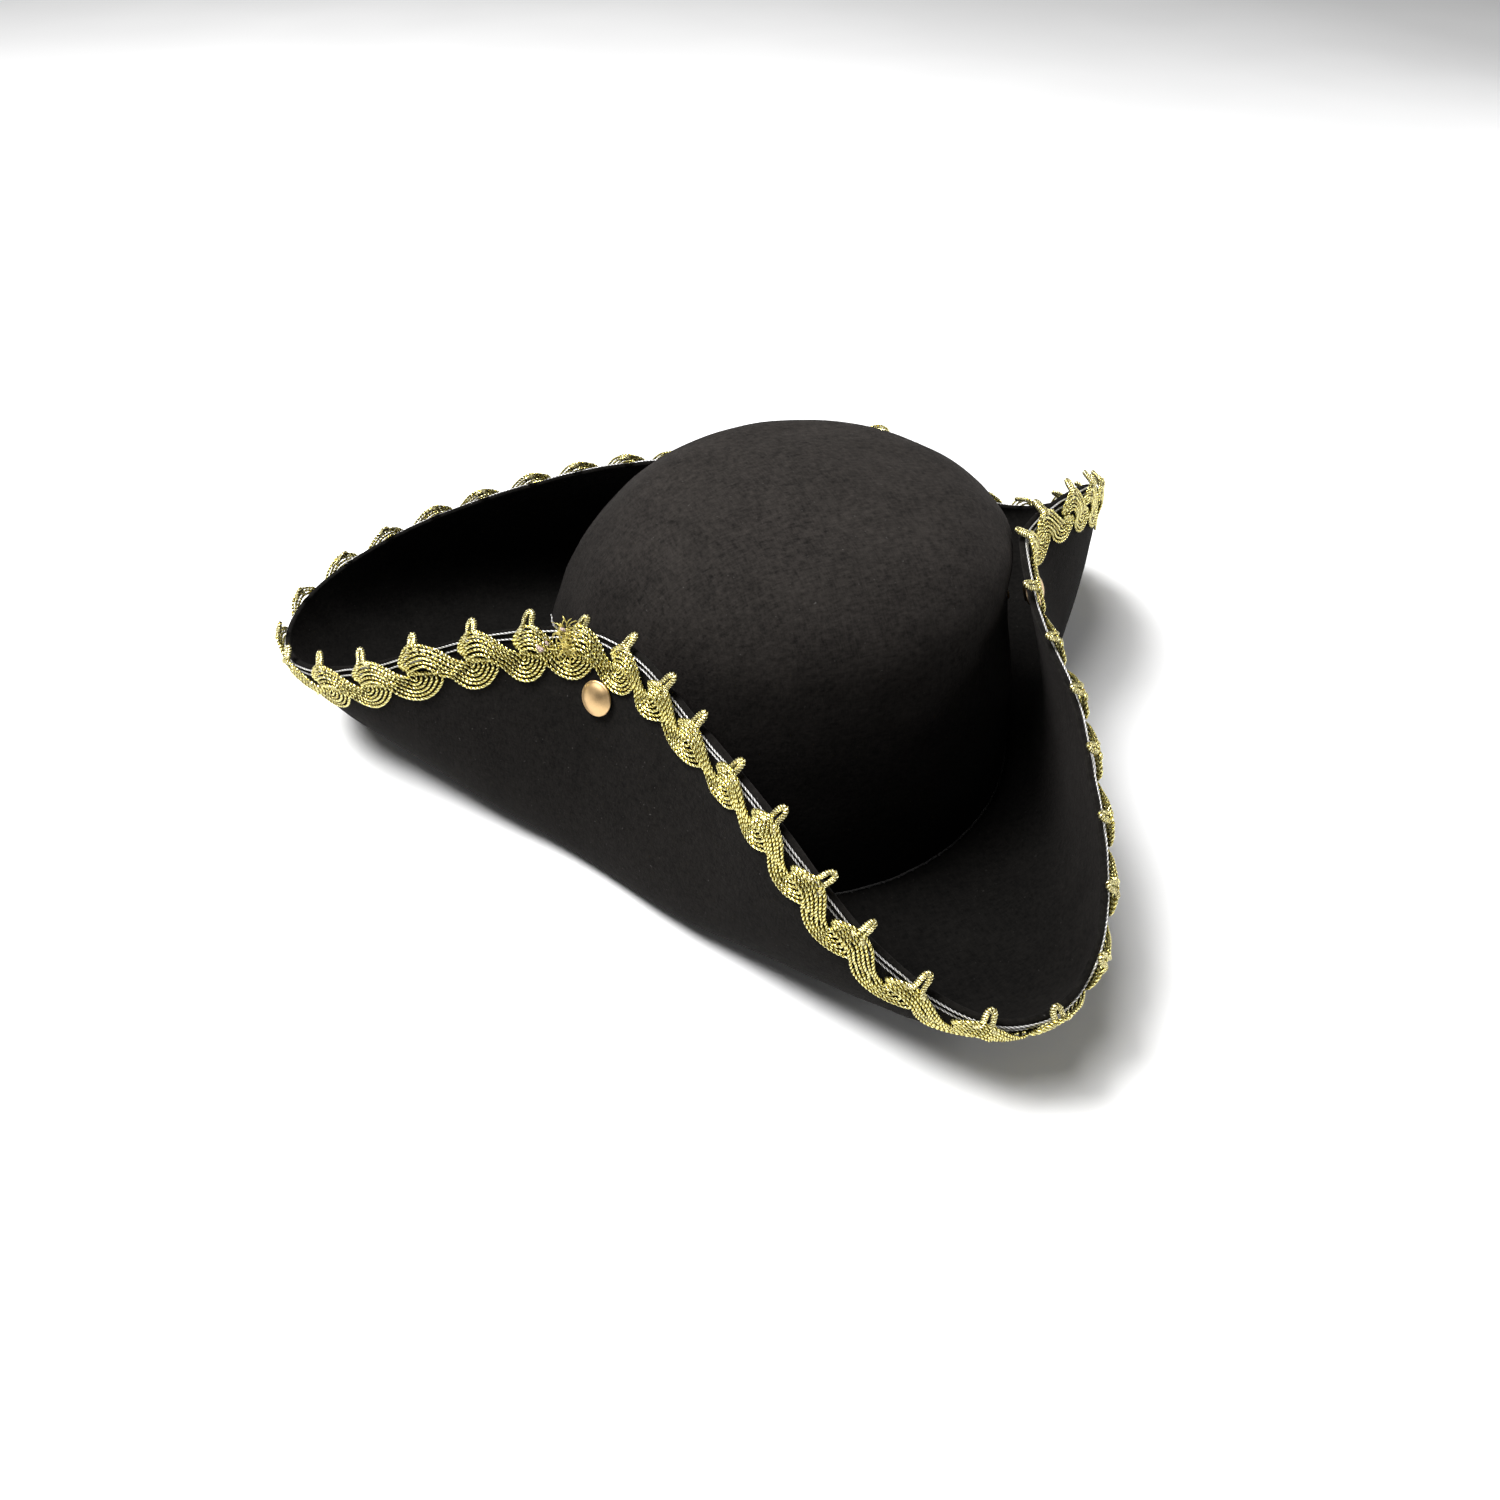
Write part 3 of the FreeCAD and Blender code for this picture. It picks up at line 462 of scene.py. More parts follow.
def felt_material(name, dark, light, sheen=0.35, tint=(0.55, 0.5, 0.48), painted_shade=None):
    """Pressed wool-like felt: a mottled nap, short crossing fibres, a little lint. The last argument
    is (height, share, height, share): the colour is darkened low down, painted shade in the hollows."""
    mat, nt, b = material(name)
    v = rest_vector(nt)
    cloud = noise(nt, v, 55.0, 3.0, 0.6)
    mottle = noise(nt, v, 420.0, 4.0, 0.65)
    nap = noise(nt, v, 1500.0, 3.0, 0.7, 0.6)
    # short fibres lying every way: stretched noise on two crossed directions
    fibres = []
    for k, (sx, sy, sz, rot) in enumerate(((1700, 280, 500, 0.5), (330, 1600, 450, -0.9),
                                          (400, 500, 1650, 1.3))):
        mp = nt.nodes.new("ShaderNodeMapping")
        mp.inputs["Rotation"].default_value = (rot, rot * 0.7, -rot)
        mp.inputs["Scale"].default_value = (sx, sy, sz)
        nt.links.new(v, mp.inputs["Vector"])
        fibres.append(noise(nt, mp.outputs["Vector"], 1.0, 2.0, 0.5))
    fib = math_node(nt, "MULTIPLY", math_node(nt, "ADD", math_node(nt, "ADD", fibres[0], fibres[1]),
                                              fibres[2]), 0.3333)
    a = math_node(nt, "MULTIPLY", cloud, 0.15)
    a = math_node(nt, "MULTIPLY_ADD", mottle, 0.25, a)
    a = math_node(nt, "MULTIPLY_ADD", fib, 0.60, a)
    col = ramp(nt, a, [(0.38, dark), (0.5, tuple((x + y) / 2 for x, y in zip(dark, light))),
                       (0.64, light)], "LINEAR")
    # specks of pale lint
    speck = noise(nt, v, 900.0, 1.0, 0.4)
    lint = ramp(nt, speck, [(0.76, (0, 0, 0)), (0.82, (1, 1, 1))], "LINEAR")
    mix = nt.nodes.new("ShaderNodeMixRGB")
    nt.links.new(math_node(nt, "MULTIPLY", lint, 0.5), mix.inputs["Fac"])
    nt.links.new(col, mix.inputs["Color1"])
    mix.inputs["Color2"].default_value = (0.09, 0.085, 0.08, 1)
    if painted_shade is None:
        nt.links.new(mix.outputs["Color"], b.inputs["Base Color"])
    else:
        # painted shade: the colour is multiplied darker towards the bottom by height, with the cloud
        # noise breaking up its edge
        sep = nt.nodes.new("ShaderNodeSeparateXYZ")
        nt.links.new(v, sep.inputs[0])
        z = math_node(nt, "MULTIPLY_ADD", sep.outputs["Z"], 1 / (painted_shade[2] - painted_shade[0]),
                      -painted_shade[0] / (painted_shade[2] - painted_shade[0]))
        z = math_node(nt, "ADD", z, math_node(nt, "MULTIPLY_ADD", cloud, 0.3, -0.15))
        share = ramp(nt, z, [(0.0, (painted_shade[1],) * 3), (1.0, (painted_shade[3],) * 3)], "EASE")
        mul = nt.nodes.new("ShaderNodeMixRGB")
        mul.blend_type = "MULTIPLY"
        mul.inputs["Fac"].default_value = 1.0
        nt.links.new(mix.outputs["Color"], mul.inputs["Color1"])
        nt.links.new(share, mul.inputs["Color2"])
        nt.links.new(mul.outputs["Color"], b.inputs["Base Color"])
    b.inputs["Roughness"].default_value = 0.95
    b.inputs["Specular IOR Level"].default_value = 0.06
    b.inputs["Sheen Weight"].default_value = sheen
    b.inputs["Sheen Roughness"].default_value = 0.45
    b.inputs["Sheen Tint"].default_value = (*tint, 1)
    h = math_node(nt, "MULTIPLY", mottle, 0.5)
    h = math_node(nt, "MULTIPLY_ADD", fib, 0.6, h)
    h = math_node(nt, "MULTIPLY_ADD", nap, 0.35, h)
    bump(nt, b, h, 0.85, 0.0006)
    return mat


def cord_material(name, painted_shade, low, painted_highlight, metallic, rough, plies=2, pitch=2.2, filaments=9.0,
                  rough_spread=0.15, bump_mm=0.00012):
    """Twisted metallic yarn. uv.x goes round the cord and uv.y is its length in cm."""
    mat, nt, b = material(name)
    tc = nt.nodes.new("ShaderNodeUVMap")
    tc.uv_map = "uv"
    sep = nt.nodes.new("ShaderNodeSeparateXYZ")
    nt.links.new(tc.outputs["UV"], sep.inputs[0])
    ux, uy = sep.outputs["X"], sep.outputs["Y"]
    turns = math_node(nt, "SUBTRACT", ux, math_node(nt, "MULTIPLY", uy, 10.0 / pitch))
    ply = math_node(nt, "COSINE", math_node(nt, "MULTIPLY", turns, 2 * math.pi * plies))
    fil = math_node(nt, "SINE", math_node(
        nt, "MULTIPLY", math_node(nt, "MULTIPLY_ADD", turns, plies * 3.0,
                                  math_node(nt, "MULTIPLY", uy, filaments)), 2 * math.pi))
    v = rest_vector(nt)
    spark = noise(nt, v, 1000.0, 3.0, 0.7)
    patch = noise(nt, v, 160.0, 2.0, 0.5)
    # painted shade and highlight: the ply and filament twist darkens the grooves towards the first colour
    # and lights the crests towards the last, and the spark noise adds painted glints; the patch noise is
    # random tone
    k = math_node(nt, "MULTIPLY_ADD", ply, 0.36, 0.30)
    k = math_node(nt, "MULTIPLY_ADD", fil, 0.07, k)
    k = math_node(nt, "MULTIPLY_ADD", spark, 0.42, k)
    k = math_node(nt, "MULTIPLY_ADD", patch, 0.20, k)
    nt.links.new(ramp(nt, k, [(0.33, painted_shade), (0.55, low), (0.72, painted_highlight)], "LINEAR"),
                 b.inputs["Base Color"])
    b.inputs["Metallic"].default_value = metallic
    r = math_node(nt, "MULTIPLY_ADD", spark, rough_spread * 2, rough - rough_spread)
    nt.links.new(r, b.inputs["Roughness"])
    h = math_node(nt, "MULTIPLY_ADD", ply, 0.5, math_node(nt, "MULTIPLY", fil, 0.35))
    h = math_node(nt, "MULTIPLY_ADD", spark, 0.8, h)
    bump(nt, b, h, 0.8, bump_mm)
    return mat


def metal_material(name, col, edge, rough, scale=900.0):
    """Plated pressed metal with fine grain, small pits and dull patches."""
    mat, nt, b = material(name)
    tc = nt.nodes.new("ShaderNodeTexCoord")
    v = tc.outputs["Object"]
    fine = noise(nt, v, scale * 3, 3.0, 0.6)
    broad = noise(nt, v, scale * 0.25, 3.0, 0.6)
    k = math_node(nt, "MULTIPLY_ADD", fine, 0.4, math_node(nt, "MULTIPLY", broad, 0.6))
    nt.links.new(ramp(nt, k, [(0.3, edge), (0.6, col)]), b.inputs["Base Color"])
    b.inputs["Metallic"].default_value = 1.0
    nt.links.new(math_node(nt, "MULTIPLY_ADD", broad, 0.22, rough - 0.1), b.inputs["Roughness"])
    bump(nt, b, fine, 0.25, 0.00003)
    return mat


def ribbon_material(name, dark, light):
    """Ribbed woven ribbon: uv.x is its length in cm and uv.y its height in cm."""
    mat, nt, b = material(name)
    tc = nt.nodes.new("ShaderNodeUVMap")
    tc.uv_map = "uv"
    sep = nt.nodes.new("ShaderNodeSeparateXYZ")
    nt.links.new(tc.outputs["UV"], sep.inputs[0])
    rib = math_node(nt, "SINE", math_node(nt, "MULTIPLY", sep.outputs["X"], 2 * math.pi * 9.0))
    weft = math_node(nt, "SINE", math_node(nt, "MULTIPLY", sep.outputs["Y"], 2 * math.pi * 26.0))
    v = rest_vector(nt)
    spot = noise(nt, v, 700.0, 3.0, 0.6)
    k = math_node(nt, "MULTIPLY_ADD", rib, 0.22, 0.35)
    k = math_node(nt, "MULTIPLY_ADD", weft, 0.08, k)
    k = math_node(nt, "MULTIPLY_ADD", spot, 0.3, k)
    nt.links.new(ramp(nt, k, [(0.2, dark), (0.8, light)], "LINEAR"), b.inputs["Base Color"])
    b.inputs["Roughness"].default_value = 0.7
    b.inputs["Sheen Weight"].default_value = 0.2
    h = math_node(nt, "MULTIPLY_ADD", rib, 0.7, math_node(nt, "MULTIPLY", weft, 0.25))
    bump(nt, b, math_node(nt, "MULTIPLY_ADD", spot, 0.3, h), 0.8, 0.00018)
    return mat


# Painted light and shade: crown, inner faces and outer brim are one felt in copies of different
# brightness. The crown's copy is painted lighter and the outer brim's darker, and the inner and crown
# copies also carry painted shade low down.
felt_brim = felt_material("felt_brim", (0.0025, 0.0023, 0.0020), (0.0114, 0.0103, 0.0091), 0.03)
felt_inner = felt_material("felt_inner", (0.0036, 0.0034, 0.0031), (0.0170, 0.0156, 0.0140), 0.03,
                           painted_shade=(0.004, 0.36, 0.085, 1.0))
felt_crown = felt_material("felt_crown", (0.0062, 0.0056, 0.0051), (0.0312, 0.0272, 0.0246), 0.04,
                           painted_shade=(0.058, 0.24, 0.126, 1.0))
# each cord's first colour is painted shade in its grooves and its last a painted highlight on its crests
# and glints
gold = cord_material("gold_cord", (0.055, 0.031, 0.002), (0.93, 0.72, 0.085), (1.0, 0.95, 0.44),
                     0.92, 0.24, pitch=3.2)
gold_picot = cord_material("gold_picot", (0.08, 0.05, 0.006), (0.92, 0.74, 0.17),
                           (1.0, 0.95, 0.55), 0.85, 0.28, pitch=1.7)
gold_fibre = cord_material("gold_fibre", (0.42, 0.28, 0.03), (0.85, 0.68, 0.13), (1.0, 0.92, 0.35),
                           0.45, 0.35, pitch=1.0)
silver = cord_material("silver_thread", (0.16, 0.155, 0.15), (0.42, 0.41, 0.40),
                       (0.85, 0.84, 0.82), 0.35, 0.35, pitch=3.2, filaments=6.0)
pink = cord_material("braid_core", (0.20, 0.13, 0.11), (0.44, 0.32, 0.28), (0.66, 0.52, 0.46),
                     0.0, 0.7, pitch=1.2)
black_thread = cord_material("black_thread", (0.008, 0.008, 0.008), (0.02, 0.02, 0.02),
                             (0.05, 0.05, 0.05), 0.0, 0.6, pitch=0.9)
seam_thread = cord_material("seam_thread", (0.012, 0.012, 0.012), (0.035, 0.034, 0.033),
                            (0.085, 0.082, 0.08), 0.0, 0.6, pitch=1.2)
copper = metal_material("copper_plate", (0.70, 0.48, 0.24), (0.55, 0.37, 0.18), 0.40)
nickel = metal_material("antique_plate", (0.62, 0.46, 0.27), (0.36, 0.25, 0.15), 0.34)
ribbon = ribbon_material("sweatband_ribbon", (0.006, 0.006, 0.007), (0.03, 0.03, 0.032))

# ------------------------------------------------------------------ flap azimuths, and baking a piece's transform
FLAPS = {"left": 60.0, "back": 180.0, "right": 300.0}


def bend(ob):
    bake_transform(ob)
    return ob


# ------------------------------------------------------------------ brim
def shell(f_line, s_line, close_f, name, mat, rim_edge):
    """A closed felt solid over azimuths f_line and distances from the root s_line. With
    rim_edge its last row is rounded over the felt's edge."""
    F, S = np.meshgrid(f_line, s_line, indexing="ij")
    Dd = total(F) - S
    p, n = felt_mid(F, Dd)
    over = p + n * HALF                  # outer face
    under = p - n * HALF                 # inner face
    if rim_edge:
        tip, nn = p[:, -1], n[:, -1]
        upd = unit(mid(F[:, -1], Dd[:, -1] - 0.5) - mid(F[:, -1], Dd[:, -1] + 0.5))
        bead = []
        for a in (60, 30, 0, -30, -60):
            q = math.radians(a)
            bead.append(tip + nn * HALF * math.sin(q) + upd * HALF * 0.9 * math.cos(q))
        loop = np.concatenate([over, np.stack(bead, 1), under[:, ::-1]], 1)
        shade = np.concatenate([n, np.stack([unit(nn * math.sin(math.radians(a))
                                                  + upd * math.cos(math.radians(a)))
                                             for a in (60, 30, 0, -30, -60)], 1), -n[:, ::-1]], 1)
    else:
        loop = np.concatenate([over, under[:, ::-1]], 1)
        shade = np.concatenate([n, -n[:, ::-1]], 1)
    nu, nv = loop.shape[:2]
    faces = grid_faces(nu, nv, closed_u=close_f, closed_v=True)
    faces = [tuple(q) for q in faces]
    if not close_f:
        half = len(s_line)
        for i, flip in ((0, False), (nu - 1, True)):
            base = i * nv
            for j in range(half - 1):
                a, b = base + j, base + j + 1
                c, d = base + nv - 2 - j, base + nv - 1 - j
                faces.append((a, b, c, d) if not flip else (d, c, b, a))
            if rim_edge:
                k = [base + half - 1 + t for t in range(7)]
                faces.append(tuple(k if not flip else k[::-1]))
    v = loop.reshape(-1, 3)
    return make(name, v, faces, mat, normals=shade.reshape(-1, 3))


f_all = np.arange(0, 360, 1.0)
ledge = shell(np.arange(0, 360, 1.0), np.array([-2.3, -1.0, 0.5, 2, 4, 6, 8, 10, BEND]), True,
              "brim_ledge", felt_inner, False)
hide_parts("brim_ledge_left", "brim_ledge_back", "brim_ledge_right")
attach(ledge, "root")

brim = []
replaced = [["brim_corner_front"], ["brim_flap_left"], ["brim_corner_left"], ["brim_flap_back"],
            ["brim_corner_right"], ["brim_flap_right"]]
for h in range(6):
    f_line = np.linspace(60.0 * h, 60.0 * h + 60.0, 97)
    rows = []
    K = np.linspace(0, 1, 58)
    F, KK = np.meshgrid(f_line, K, indexing="ij")
    # rows run from the fold to the rim at each azimuth
    tot = total(F)
    S = BEND + (tot - BEND) * KK
    Dd = tot - S
    p, n = felt_mid(F, Dd)
    tip, nn = p[:, -1], n[:, -1]
    upd = unit(mid(F[:, -1], Dd[:, -1] - 0.5) - mid(F[:, -1], Dd[:, -1] + 0.5))
    ang = [math.radians(a) for a in (60, 30, 0, -30, -60)]
    bead = [tip + nn * HALF * math.sin(q) + upd * HALF * 0.9 * math.cos(q) for q in ang]
    bn = [unit(nn * math.sin(q) + upd * math.cos(q)) for q in ang]
    loop = np.concatenate([p + n * HALF, np.stack(bead, 1), (p - n * HALF)[:, ::-1]], 1)
    shade = np.concatenate([n, np.stack(bn, 1), -n[:, ::-1]], 1)
    nu, nv = loop.shape[:2]
    faces = [tuple(q) for q in grid_faces(nu, nv, closed_v=True)]
    half = len(K)
    for i, flip in ((0, False), (nu - 1, True)):
        base = i * nv
        for j in range(half - 1):
            a, b, c, d = base + j, base + j + 1, base + nv - 2 - j, base + nv - 1 - j
            faces.append((a, b, c, d) if not flip else (d, c, b, a))
        k = [base + half - 1 + t for t in range(7)]
        faces.append(tuple(k if not flip else k[::-1]))
    ob = make("brim_felt_%d" % h, loop.reshape(-1, 3), faces, felt_brim,
              normals=shade.reshape(-1, 3))
    # the inner faces take a lighter copy of the same felt than the outer faces, painted light and shade,
    # with painted shade towards the root
    ob.data.materials.append(felt_inner)
    for q in ob.data.polygons:
        if min(t % nv for t in q.vertices) >= half + 3:
            q.material_index = 1
    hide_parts(*replaced[h])
    bend(ob)
    brim.append(ob)

# ------------------------------------------------------------------ crown
CR, CH, A1, A2, A3 = 99.0, 124.0, 230.0, 50.0, 197.0


def crown_line(less, n=64):
    """The crown's profile from its lower edge to the middle of the top: side arc, shoulder
    arc and top arc."""
    c1, c3 = np.array([CR - A1, 0.0]), np.array([0.0, CH - A3])
    dv = c3 - c1
    L = math.hypot(*dv)
    a, b = A1 - A2, A3 - A2
    x = (L * L + a * a - b * b) / (2 * L)
    y = math.sqrt(max(a * a - x * x, 0))
    uv = dv / L
    best = None
    for s in (1, -1):
        c = c1 + uv * x + np.array([-uv[1], uv[0]]) * y * s
        if best is None or c.sum() > best.sum():
            best = c
    c2 = best
    q1 = math.atan2(c2[1] - c1[1], c2[0] - c1[0])
    q2 = math.atan2(c2[1] - c3[1], c2[0] - c3[0])
    out = []
    for c, r, q, w in ((c1, A1 - less, np.linspace(0, q1, 26)[:-1], 0),
                       (c2, A2 - less, np.linspace(q1, q2, 22)[:-1], 0),
                       (c3, A3 - less, np.linspace(q2, math.pi / 2, 22), 0)):
        out.append(np.stack([c[0] + r * np.cos(q), c[1] + r * np.sin(q)], 1))
    return np.concatenate(out)


def crown_place(r, z, a):
    """Crown point at azimuth a (radians): the soft dome leans a little and isn't quite round."""
    x, y = -r * np.sin(a), -r * np.cos(a)
    k = np.clip(z / CH, 0, 1.05) ** 4
    x = x + 11.0 * k
    y = y - 4.5 * k
    # fuller shoulder on one side, flatter on the other
    side = -np.sin(a) * 0.93 + np.cos(a) * 0.37
    full = np.exp(-((z - 104) / 17.0) ** 2) * np.clip(r / 60.0, 0, 1)
    g = full * (7.0 * np.clip(side, 0, 1) ** 1.5 - 2.5 * np.clip(-side, 0, 1) ** 1.5)
    x = x - np.sin(a) * g
    y = y - np.cos(a) * g
    return np.stack([x, y, np.broadcast_to(z, x.shape)], -1)


NA = 216
az = np.arange(NA) * 2 * np.pi / NA
outer = crown_line(0.0)
inner = crown_line(2.0)
rows = [outer[:-1], np.array([[0.02, CH]]), np.array([[0.02, CH - 2.0]]), inner[:-1][::-1]]
prof = np.concatenate([outer[:-1], inner[:-1][::-1]])
A, Rr = np.meshgrid(az, prof[:, 0], indexing="ij")
_, Zz = np.meshgrid(az, prof[:, 1], indexing="ij")
P = crown_place(Rr, Zz, A)
rad = unit(np.stack([-np.sin(A) * 1.0, -np.cos(A) * 1.0, 0 * A + 0.0], -1))
ease = np.clip((Zz - 8) / 40, 0, 1)[..., None]
bumpy = 0.55 * waves(P[..., 0], P[..., 1], P[..., 2], 75.0, 21)[..., None] \
    + 0.12 * waves(P[..., 0], P[..., 1], P[..., 2], 16.0, 22, 1)[..., None]
dirn = unit(P - np.array([0, 0, 20.0]))
P = P + dirn * bumpy * ease
npf = len(prof)
verts = P.reshape(-1, 3)
faces = [tuple(q) for q in grid_faces(NA, npf, closed_u=True, flip=True)]
# remove the quads that would join outer top to inner top
no = len(outer) - 1
faces = [q for q in faces if not ({no - 1, no} <= {i % npf for i in q})]
top_o, top_i = len(verts), len(verts) + 1
co = P[:, no - 1].mean(0)
ci = P[:, no].mean(0)
verts = np.concatenate([verts, [co + [0, 0, 0.02], ci + [0, 0, 0.02]]])
for i in range(NA):
    j = (i + 1) % NA
    faces.append((i * npf + no - 1, j * npf + no - 1, top_o)[::-1])
    faces.append((j * npf + no, i * npf + no, top_i)[::-1])
    faces.append((j * npf + 0, j * npf + npf - 1, i * npf + npf - 1, i * npf + 0)[::-1])
dome = make("crown_dome", verts, faces, felt_crown)
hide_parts("crown")
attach(dome, "root")

# ------------------------------------------------------------------ seam, stitches, sweatband
aa = np.linspace(0, 2 * np.pi, 721)
wob = 0.12 * np.sin(aa * 23) + 0.1 * np.sin(aa * 41 + 1)
ring_pts = np.stack([-(99.55 + 0 * aa) * np.sin(aa), -(99.55 + 0 * aa) * np.cos(aa), 3.05 + wob], -1)
bag = Bag()
v, f, uv, _ = tube(ring_pts, np.broadcast_to([0, 0, 1.0], ring_pts.shape), 0.42, 8, 2, 0.18, 2.4)
bag.add(v, f, uv)
# slanting stitches over it
for i in range(96):
    a0 = 2 * np.pi * (i + 0.5) / 96 + rng.normal(0, 0.002)
    k = np.linspace(-1, 1, 7)
    a = a0 + k * 0.011
    r = 99.55 + 0.55 * (1 - k ** 2)
    z = 3.1 + k * 0.85
    pts = np.stack([-r * np.sin(a), -r * np.cos(a), z], -1)
    v, f, uv, _ = tube(pts, unit(np.stack([-np.sin(a), -np.cos(a), 0.6 + 0 * a], -1)), 0.26, 6,
                       2, 0.15, 1.0, taper=True)
    bag.add(v, f, uv)
seam = bag.make("crown_seam", seam_thread)
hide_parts("crown_seam_stitches")
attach(seam, "root")

n_a = 240
aa = np.arange(n_a) * 2 * np.pi / n_a
zz = np.linspace(1.0, 33.0, 17)
c1x = CR - A1
A, Z = np.meshgrid(aa, zz, indexing="ij")
ease = np.clip((Z - 6) / 27, 0, 1)
ro = c1x + np.sqrt((A1 - 2.35) ** 2 - Z ** 2) - 0.15 - 0.35 * ease * (1 + np.sin(A * 9 + 1) * 0.5
                                                                     + np.sin(A * 17) * 0.3)
lift = 0.25 * np.sin(A * 7) * ease
out = np.stack([-ro * np.sin(A), -ro * np.cos(A), Z + lift], -1)
ri = ro - 0.8
inn = np.stack([-ri * np.sin(A), -ri * np.cos(A), Z + lift], -1)
loop = np.concatenate([out, inn[:, ::-1]], 1)
uvo = np.stack([A * 9.6, Z / 10], -1)
uvs = np.concatenate([uvo, uvo[:, ::-1]], 1)
band = make("sweatband_ribbon", loop.reshape(-1, 3), grid_faces(n_a, 34, True, True), ribbon,
            uvs.reshape(-1, 2), closed=True)
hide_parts("sweatband")
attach(band, "root")
bag = Bag()
for i in range(84):
    a0 = 2 * np.pi * i / 84 + rng.normal(0, 0.002)
    k = np.linspace(-1, 1, 7)
    a = a0 + k * 0.0165
    r = 95.75 - 0.25 * (1 - k ** 2) + 0.18
    z = 3.2 + 0 * k + rng.normal(0, 0.08)
    pts = np.stack([-r * np.sin(a), -r * np.cos(a), z], -1)
    v, f, uv, _ = tube(pts, unit(np.stack([np.sin(a), np.cos(a), 0 * a], -1)), 0.24, 6, 2, 0.15,
                       1.0, taper=True)
    bag.add(v, f, uv)
bs = bag.make("sweatband_thread", black_thread)
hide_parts("sweatband_stitches")
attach(bs, "root")

# ------------------------------------------------------------------ braid
LOBE0 = -1.3                       # a lobe's middle, in mm along the rim from the join
CORDS = 6
CORD_R = 0.50

# the braid isn't sewn on evenly: regular place along the rim -> how far it is shifted
SHIFT_AT = [-600, -330, -210, -140, -93.7, -70.6, -47.5, -24.4, -1.3, 21.8, 44.9, 68, 91.1,
            114.3, 137.4, 160.5, 200, 602]
SHIFT_BY = [0, 0, 3.0, 6.0, 10.2, 13.4, 18.0, 18.3, 15.2, 14.7, 12.4, 8.2, 6.1, 3.7, 1.2, -0.3,
            0, 0]


def place(i):
    """Where repeat i's lobe has its middle, and how wide the repeat is beside a regular one."""
    u = LOBE0 + i * PITCH
    c = u - RIM if u > RIM / 2 else u
    b = np.interp(c, SHIFT_AT, SHIFT_BY)
    n = np.interp(c + PITCH, SHIFT_AT, SHIFT_BY) if c + PITCH < 602 else 0.0
    return u + b, (PITCH + n - b) / PITCH


LOW, HIGH = 0.70, 2.25
# (u, v, w) of the cord that is innermost in the lobe and outermost on the hump, and of the
# cord that is outermost in the lobe
INNER = [(-0.95, 8.2, LOW + .35), (-0.8, 8.8, LOW), (-0.45, 9.3, LOW), (0, 9.45, LOW),
         (0.45, 9.3, LOW), (0.8, 8.8, LOW), (0.9, 8.1, LOW), (0.5, 7.2, LOW),
         (-0.4, 6.2, LOW), (-1.6, 5.0, LOW + .3), (-2.5, 3.5, LOW + .8), (-1.9, 1.3, HIGH - .1),
         (0.2, -0.9, HIGH), (2.7, -2.6, HIGH), (5.1, -3.25, HIGH), (8.0, -2.6, HIGH),
         (11.0, -0.8, HIGH), (14.2, 1.9, HIGH), (17.3, 4.9, HIGH), (20.1, 7.0, HIGH - .5)]
OUTER = [(-10.6, 11.0, LOW + .35), (-8.6, 13.3, LOW), (-4.8, 15.6, LOW), (0, 16.5, LOW),
         (4.8, 15.6, LOW), (8.6, 13.2, LOW), (10.6, 10.9, LOW), (10.0, 9.2, LOW),
         (7.4, 8.2, LOW - .05), (4.0, 7.7, LOW - .05), (1.0, 7.3, LOW),
         (-0.6, 6.7, LOW + .7), (-0.6, 5.9, HIGH - .3), (1.2, 5.4, HIGH - .05),
         (4.0, 5.1, HIGH), (6.4, 5.4, HIGH), (8.3, 6.4, HIGH),
         (9.7, 7.7, HIGH), (10.8, 9.0, HIGH - .3), (11.8, 10.1, HIGH - .7)]
INNER, OUTER = np.array(INNER), np.array(OUTER)


